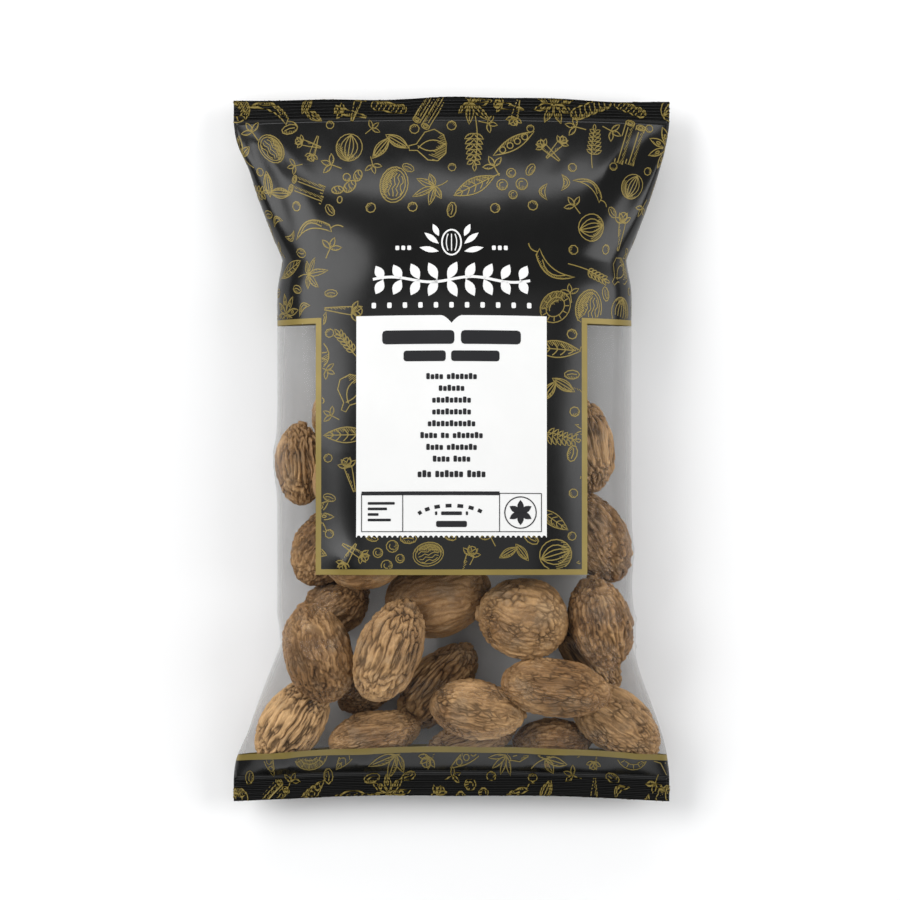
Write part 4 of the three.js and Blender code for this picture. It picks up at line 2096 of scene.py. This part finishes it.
@dataclass
class SpicePattern:
    """The gold line drawings scattered over the dark film."""

    form: PillowForm
    columns: int = 22
    column_pitch: float = 10.6 * MM
    row_pitch: float = 10.8 * MM
    size: float = 11.6 * MM
    least_scale: float = 0.84
    most_scale: float = 1.12
    pen: float = 0.26 * MM
    jitter: float = 0.9 * MM
    lift: float = 0.06 * MM
    seal_lift: float = 0.13 * MM
    seal_margin: float = 0.7 * MM
    seal_cuts: int = 2
    clear_half: float = 26 * MM
    clear_from: float = 72 * MM
    clear_to: float = 154 * MM
    seed: int = 11

    def scatter_tree(self) -> Growth:
        """The tree that scatters drawings on a grid and lays them on the film.

        Returns:
            The tree, with named inputs.
        """
        sizes = ("Width", "Height", "Shift", "Jitter", "Lift", "Clear Half", "Clear From",
                 "Clear To")
        tree = Growth("spice_scatter", {
            "Film": Object, "Drawings": bpy.types.Collection, "Columns": int, "Rows": int,
            **dict.fromkeys(sizes, float), "Seed": int, "Finish": Material})
        given = tree.given
        grid = tree.add("GeometryNodeMeshGrid", {
            "Size X": given["Width"], "Size Y": given["Height"],
            "Vertices X": given["Columns"], "Vertices Y": given["Rows"]}).outputs[0]
        seeds = [tree.math("ADD", given["Seed"], float(k)) for k in range(4)]
        spread = tree.joined(given["Jitter"], given["Jitter"])
        stray = tree.random(tree.scaled(spread, -1.0), spread, seeds[0], "FLOAT_VECTOR")
        raised = tree.joined(given["Shift"], tree.times_add(given["Height"], 0.5, given["Shift"]))
        points = tree.moved(grid, Offset=tree.vector("ADD", stray, raised))
        across, along, _ = tree.split(tree.spot)
        inside = tree.math("LESS_THAN", tree.math("ABSOLUTE", across), given["Clear Half"])
        for operation, limit in (("GREATER_THAN", "Clear From"), ("LESS_THAN", "Clear To")):
            inside = tree.times(inside, tree.math(operation, along, given[limit]))
        art = tree.add("GeometryNodeCollectionInfo", {
            "Collection": given["Drawings"], "Separate Children": True,
            "Reset Children": True}).outputs[0]
        turn = tree.joined(z=tree.random(0.0, 2 * math.pi, seeds[1]))
        grow = tree.random(self.least_scale, self.most_scale, seeds[2])
        placed = tree.add("GeometryNodeInstanceOnPoints", {
            "Points": points, "Selection": tree.compare(inside, "LESS_THAN"), "Instance": art,
            "Pick Instance": True, "Instance Index": tree.random(0, 1000, seeds[3], "INT"),
            "Rotation": tree.add("FunctionNodeEulerToRotation", {0: turn}).outputs[0],
            "Scale": tree.joined(grow, grow, grow)}).outputs[0]
        real = tree.add("GeometryNodeRealizeInstances", {"Geometry": placed}).outputs[0]
        fine, in_seal = self.finer_in_seals(tree, real, along)
        lift = tree.times_add(in_seal, self.seal_lift, given["Lift"])
        tree.finish(laid_on_film(tree, fine, lift))
        return tree

    def finer_in_seals(self, tree: Growth, flat: Socket, along: Socket) -> tuple[Socket, Socket]:
        """Cuts strokes that lie across the seals' ribs into shorter ones.

        Args:
            tree: The tree to build in.
            flat: The flat strokes.
            along: Their place along the film.

        Returns:
            The strokes, and 1 where a place is in a seal.
        """
        from_end = tree.math("MINIMUM", along, tree.math("SUBTRACT", self.form.length, along))
        in_seal = tree.math("LESS_THAN", from_end, self.form.bottom_seal + self.seal_margin)
        chosen = {"Geometry": flat, "Selection": tree.compare(in_seal)}
        sealed, rest = tree.add("GeometryNodeSeparateGeometry", chosen, domain="FACE").outputs
        cut = tree.add("GeometryNodeSubdivideMesh", {"Mesh": sealed, "Level": self.seal_cuts})
        both = tree.add("GeometryNodeJoinGeometry", {"Geometry": cut.outputs[0]})
        tree.feed(both.inputs[0], rest)
        return both.outputs[0], in_seal

    def build(self, film: Object, finish: Material) -> list[Object]:
        """Prints the large drawings, then small ones in the gaps.

        Args:
            film: The dark film.
            finish: The gold ink.

        Returns:
            The pieces.
        """
        tree = self.scatter_tree()
        rows = math.ceil(self.form.length / self.row_pitch)
        pieces = []
        for name, art, offset, seed in (("spice_drawings", LARGE_ART, 0.0, self.seed),
                                        ("small_drawings", SMALL_ART, 0.5, self.seed + 20)):
            kinds = bpy.data.collections.new(name)
            for k, strokes in enumerate(art.values()):
                kinds.objects.link(inked(f"{name}_{k:02d}", strokes, self.size, self.pen))
            mesh = tree.grow(name, {
                "Film": film, "Drawings": kinds, "Columns": self.columns, "Rows": rows,
                "Width": self.column_pitch * (self.columns - 1),
                "Height": self.row_pitch * (rows - 1),
                "Shift": self.column_pitch * offset, "Jitter": self.jitter, "Lift": self.lift,
                "Clear Half": self.clear_half, "Clear From": self.clear_from,
                "Clear To": self.clear_to, "Seed": seed, "Finish": finish,
            })
            for drawing in list(kinds.objects):
                bpy.data.meshes.remove(drawing.data)
            bpy.data.collections.remove(kinds)
            pieces.append(show(name, mesh, Slot.GOLD_PRINT))
        return pieces


@dataclass
class LabelPanel:
    """The pale panel with its greeked text, and the white emblem over it."""

    film: Object
    half_width: float = 24.8 * MM
    foot: float = 70.0 * MM
    head: float = 127.9 * MM
    teeth: int = 37
    bite: float = 0.38
    notch_half: float = 2.6 * MM
    notch_depth: float = 2.0 * MM
    notch_power: float = 1.6
    lift: float = 0.10 * MM
    ink_lift: float = 0.17 * MM
    table_half: float = 23.4 * MM
    table_head: float = 46.4 * MM
    table_foot: float = 56.4 * MM
    table_rules: tuple[float, float] = (-12.7 * MM, 12.5 * MM)
    rule: float = 0.22 * MM
    nut_at: float = 147.0 * MM
    garland_at: float = 137.3 * MM
    garland_half: float = 20.5 * MM
    bars_at: float = 130.6 * MM
    bars: int = 11
    bar_pitch: float = 4.05 * MM

    def panel(self) -> Mesh:
        """The pale panel: a notch in the head, scallops along the foot.

        Returns:
            The flat mesh.
        """
        w, low, high = self.half_width, self.foot, self.head
        t = np.linspace(-1, 1, 9)
        dip = self.notch_depth * (1 - np.abs(t)) ** self.notch_power
        notch = np.stack([t * self.notch_half, high - dip], axis=1)
        pitch = 2 * w / self.teeth
        bite = oval(2 * self.bite * pitch, 2 * self.bite * pitch, 6, 0, 181)
        foot = np.concatenate([bite + [w - pitch * (k + 0.5), low] for k in range(self.teeth)])
        stencil = Stencil("label_panel")
        stencil.shape(np.array([(-w, high), *notch, (w, high), (w, low), *foot, (-w, low)]))
        return stencil.finish()

    def ink(self) -> Mesh:
        """Bars that stand for lines of text, and the ruled table at the foot.

        Returns:
            The flat mesh.
        """
        s = Stencil("label_ink")
        top = self.head
        s.words(0, top - 5.7 * MM, [18.8 * MM, 15.6 * MM], 3.6 * MM, 1.7 * MM)
        s.words(0, top - 10.6 * MM, [11.0 * MM, 12.6 * MM], 2.8 * MM, 1.4 * MM)
        lines = ([4, 7], [6], [9], [9], [11], [4, 2, 7], [4, 7], [4, 4])
        for k, counts in enumerate(lines):
            s.letters(top - (15.9 + 3.07 * k) * MM, counts, 1.6 * MM, 0.92 * MM)
        s.letters(top - 41.3 * MM, [3, 6, 4], 1.85 * MM, 1.0 * MM)
        self.table(s, top - self.table_head, top - self.table_foot)
        return s.finish()

    def table(self, s: Stencil, high: float, low: float) -> None:
        """Rules the foot's three cells and fills them.

        Args:
            s: The stencil.
            high: The table's upper edge.
            low: Its lower edge.
        """
        left, right, middle = -self.table_half, self.table_half, (high + low) / 2
        first, second = self.table_rules
        s.bar((left + second) / 2, high, second - left, 1.0 * MM, 0)
        s.bar((second + right) / 2, high, right - second, self.rule, 0)
        s.bar((left + right) / 2, low, right - left, self.rule, 0)
        for x in (left, first, second, right):
            s.bar(x, middle, self.rule, high - low, 0)
        for k, wide in enumerate((7.0 * MM, 5.0 * MM, 2.8 * MM, 6.0 * MM)):
            s.bar(left + 1.6 * MM + wide / 2, high - (2.6 + 1.45 * k) * MM, wide, 0.7 * MM)
        arc = oval(19 * MM, 7.4 * MM, 15, 155, 25) + [0, middle - 1.9 * MM]
        for a, b in zip(arc[::2], arc[1::2]):
            s.line(np.array([a, b]), 0.95 * MM)
        s.words(0, middle - 0.2 * MM, [0.6 * MM, 5.4 * MM, 0.6 * MM], 0.95 * MM, 1.0 * MM)
        s.words(0, middle - 3.0 * MM, [8.0 * MM], 1.6 * MM)
        centre = ((second + right) / 2, middle)
        s.line(oval(8.2 * MM, 8.2 * MM, 28) + centre, 0.3 * MM, True)
        for angle in range(30, 390, 60):
            s.shape(turned(petal(3.3 * MM, 1.7 * MM, 5), angle, centre))

    def emblem(self) -> Mesh:
        """White ornaments over the panel: a nut between leaves, a garland and rows of small bars.

        Returns:
            The flat mesh.
        """
        s = Stencil("emblem")
        nut, mm = self.nut_at, MM
        s.line(oval(5.0 * mm, 6.6 * mm, 26) + [0, nut], 0.42 * mm, True)
        for k in (-1, 0, 1):
            x, reach = k * 0.9 * mm, 2.2 * mm
            s.line(bow((x, nut - reach), (x, nut + reach), k * -0.45 * mm, 7), 0.26 * mm)
        for side in (1, -1):
            for angle, long, y in ((12, 5.2, -2.4), (38, 4.8, -0.4), (64, 3.6, 1.6)):
                petals = turned(petal(long * mm, 1.5 * mm, 6), angle)
                s.shape((petals + [3.3 * mm, nut + y * mm]) * [side, 1])
            s.words(side * 12.6 * mm, nut - 1.4 * mm, [1.0 * mm] * 3, 1.15 * mm, 0.55 * mm)
        self.garland(s)
        for k in range(self.bars):
            x = (k - self.bars // 2) * self.bar_pitch
            s.bar(x, self.bars_at, 1.15 * mm, 1.45 * mm)
        return s.finish()

    def garland(self, s: Stencil) -> None:
        """Adds a bold wreath of paired leaves on a waving stem.

        Args:
            s: The stencil.
        """
        t = np.linspace(-self.garland_half, self.garland_half, 42)
        wave = self.garland_at + 0.7 * MM * np.sin(t / (3.4 * MM))
        s.line(np.stack([t, wave], axis=1), 0.7 * MM)
        for k in range(-4, 5):
            side = -1 if k < 0 else 1
            blade = turned(petal((5.2 - 0.25 * abs(k)) * MM, 2.5 * MM, 6), 62)
            foot = [k * 4.7 * MM - side * 1.0 * MM, self.garland_at]
            for flip in (1, -1):
                s.shape(blade * [side, flip] + foot)

    def build(self, white: Material, ink: Material) -> list[Object]:
        """Lays the panel, its marks and the emblem on the film.

        Args:
            white: The panel's and the emblem's material.
            ink: The marks' material.

        Returns:
            The pieces.
        """
        tree = Growth("lay_on_film", {"Film": Object, "Lift": float, "Finish": Material})
        tree.finish(laid_on_film(tree, tree.given["Geometry"], tree.given["Lift"]))
        pieces = []
        for flat, lift, finish, slot in (
            (self.panel(), self.lift, white, Slot.LABEL_PRINT),
            (self.ink(), self.ink_lift, ink, Slot.LABEL_INK),
            (self.emblem(), self.lift, white, Slot.LABEL_PRINT),
        ):
            name = flat.name
            values = {"Film": self.film, "Lift": lift, "Finish": finish}
            pieces.append(show(name, tree.grow(name + "_laid", values, flat), slot))
        return pieces


# ---------------------------------------- The whole ----------------------------------------------


@dataclass
class Bag:
    """The bag of nutmegs: film, print and contents."""

    form: PillowForm
    gold: FilmFinish = FilmFinish("gold_print", (0.225, 0.168, 0.042), 0.4, metallic=0.15,
                                  fleck=0.12)
    white: FilmFinish = FilmFinish("label_print", (0.80, 0.80, 0.79), 0.36, 0.35, fleck=0.02)
    ink: FilmFinish = FilmFinish("label_ink", (0.010, 0.010, 0.012), 0.4, fleck=0.1)

    def build(self) -> None:
        """Settles the nuts, drapes the film over them and prints it."""
        heap = NutmegHeap(self.form)
        LOG.info("nuts settled, deepest overlap %.2f mm", heap.settle() / MM)
        nuts = heap.build(NutmegFinish().material())
        film = FilmTube(self.form)
        LOG.info("film pushed out by %.2f mm at most", film.drape(nuts) / MM)
        sides = film.faces()
        dark, lines = (sides[zone, True] + sides[zone, False] for zone in (Zone.DARK, Zone.GOLD))
        black, milky, gold = (f.material() for f in (FilmFinish(), BackingFinish(), self.gold))
        printed = show("film_dark", film.sheet("film_dark", dark, True), Slot.PRINTED_FILM, black)
        for name, faces, slot, material in (
            ("film_gold_lines", lines, Slot.GOLD_PRINT, gold),
            ("film_windows", sides[Zone.WINDOW, True], Slot.CLEAR_FILM, WindowFinish().material()),
            ("film_backing", sides[Zone.WINDOW, False], Slot.BACKING_FILM, milky),
        ):
            show(name, film.sheet(name, faces), slot, material)
        seam = film.seam("seam_dark", Zone.DARK, Zone.GOLD)
        show("seam_dark", seam, Slot.PRINTED_FILM, black)
        show("seam_clear", film.seam("seam_clear", Zone.WINDOW), Slot.BACKING_FILM, milky)
        SpicePattern(self.form).build(printed, gold)
        LabelPanel(printed).build(self.white.material(), self.ink.material())


@dataclass(frozen=True)
class Lamp:
    """A soft rectangular light: where it stands, its width and height, and its power in watts."""

    name: str
    place: tuple[float, float, float]
    size: tuple[float, float]
    power: float

    def hang(self, target: Vector) -> Object:
        """Makes the light and aims it.

        Args:
            target: What it faces.

        Returns:
            The light's object.
        """
        lamp = bpy.data.lights.new(self.name, "AREA")
        lamp.shape = "RECTANGLE"
        lamp.size, lamp.size_y = self.size
        lamp.energy = self.power
        holder = bpy.data.objects.new(self.name, lamp)
        holder.location = self.place
        aim = target - Vector(self.place)
        holder.rotation_euler = aim.to_track_quat("-Z", "Y").to_euler()
        bpy.context.scene.collection.objects.link(holder)
        return holder


@dataclass
class Studio:
    """The floor, the lights and the camera."""

    centre: Vector
    view_width: float = 236.4 * MM
    lens: float = 300.0
    aim: tuple[float, float] = (-0.4 * MM, -0.25 * MM)
    sensor: float = 36.0
    farthest: float = 50.0
    floor_radius: float = 6.0
    sky: Colour = (0.95, 0.97, 1.0)
    sky_strength: float = 0.22
    lamps: tuple[Lamp, ...] = (
        Lamp("key_left", (-0.80, 0.42, 0.85), (0.9, 0.7), 10.0),
        Lamp("fill_right", (0.95, 0.15, 0.70), (0.6, 0.9), 7.0),
        Lamp("top_strip", (-0.05, 0.95, 0.50), (0.9, 0.25), 3.0),
        Lamp("front_fill", (0.0, -0.95, 0.80), (1.3, 0.5), 3.0),
        Lamp("overhead", (0.0, 0.0, 1.1), (0.75, 0.75), 1.35),
    )

    def build(self) -> None:
        """Sets the stage up."""
        self.floor()
        self.world()
        for lamp in self.lamps:
            lamp.hang(self.centre)
        self.camera()

    def floor(self) -> None:
        """Lays a plain pale floor that isn't part of the object."""
        bm = bmesh.new()
        bmesh.ops.create_circle(bm, cap_ends=True, segments=64, radius=self.floor_radius)
        mesh = bpy.data.meshes.new("floor")
        bm.to_mesh(mesh)
        bm.free()
        mesh.materials.append(FloorFinish().material())
        floor = bpy.data.objects.new("floor", mesh)
        bpy.context.scene.collection.objects.link(floor)

    def world(self) -> None:
        """Sets an even pale surround."""
        world = bpy.data.worlds.new("surround")
        bpy.context.scene.world = world
        world.use_nodes = True
        sky = world.node_tree.nodes["Background"]
        sky.inputs["Color"].default_value = (*self.sky, 1)
        sky.inputs["Strength"].default_value = self.sky_strength

    def camera(self) -> None:
        """Hangs the camera over the bag, looking straight down with the top seal up."""
        data = bpy.data.cameras.new("camera")
        data.lens = self.lens
        data.sensor_width = self.sensor
        data.clip_end = self.farthest
        camera = bpy.data.objects.new("camera", data)
        height = self.view_width * self.lens / self.sensor
        camera.location = (*self.aim, self.centre.z + height)
        bpy.context.scene.collection.objects.link(camera)
        bpy.context.scene.camera = camera


def main() -> None:
    """Builds the bag, then the studio round it."""
    logging.basicConfig(level=logging.INFO, format="%(name)s: %(message)s")
    bpy.context.scene.view_settings.view_transform = "Standard"
    low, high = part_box(NODE)
    Bag(PillowForm(length=high.y - low.y, flat_width=high.x - low.x)).build()
    Studio(Vector((0, 0, (low.z + high.z) / 2))).build()


if __name__ == "__main__":
    main()
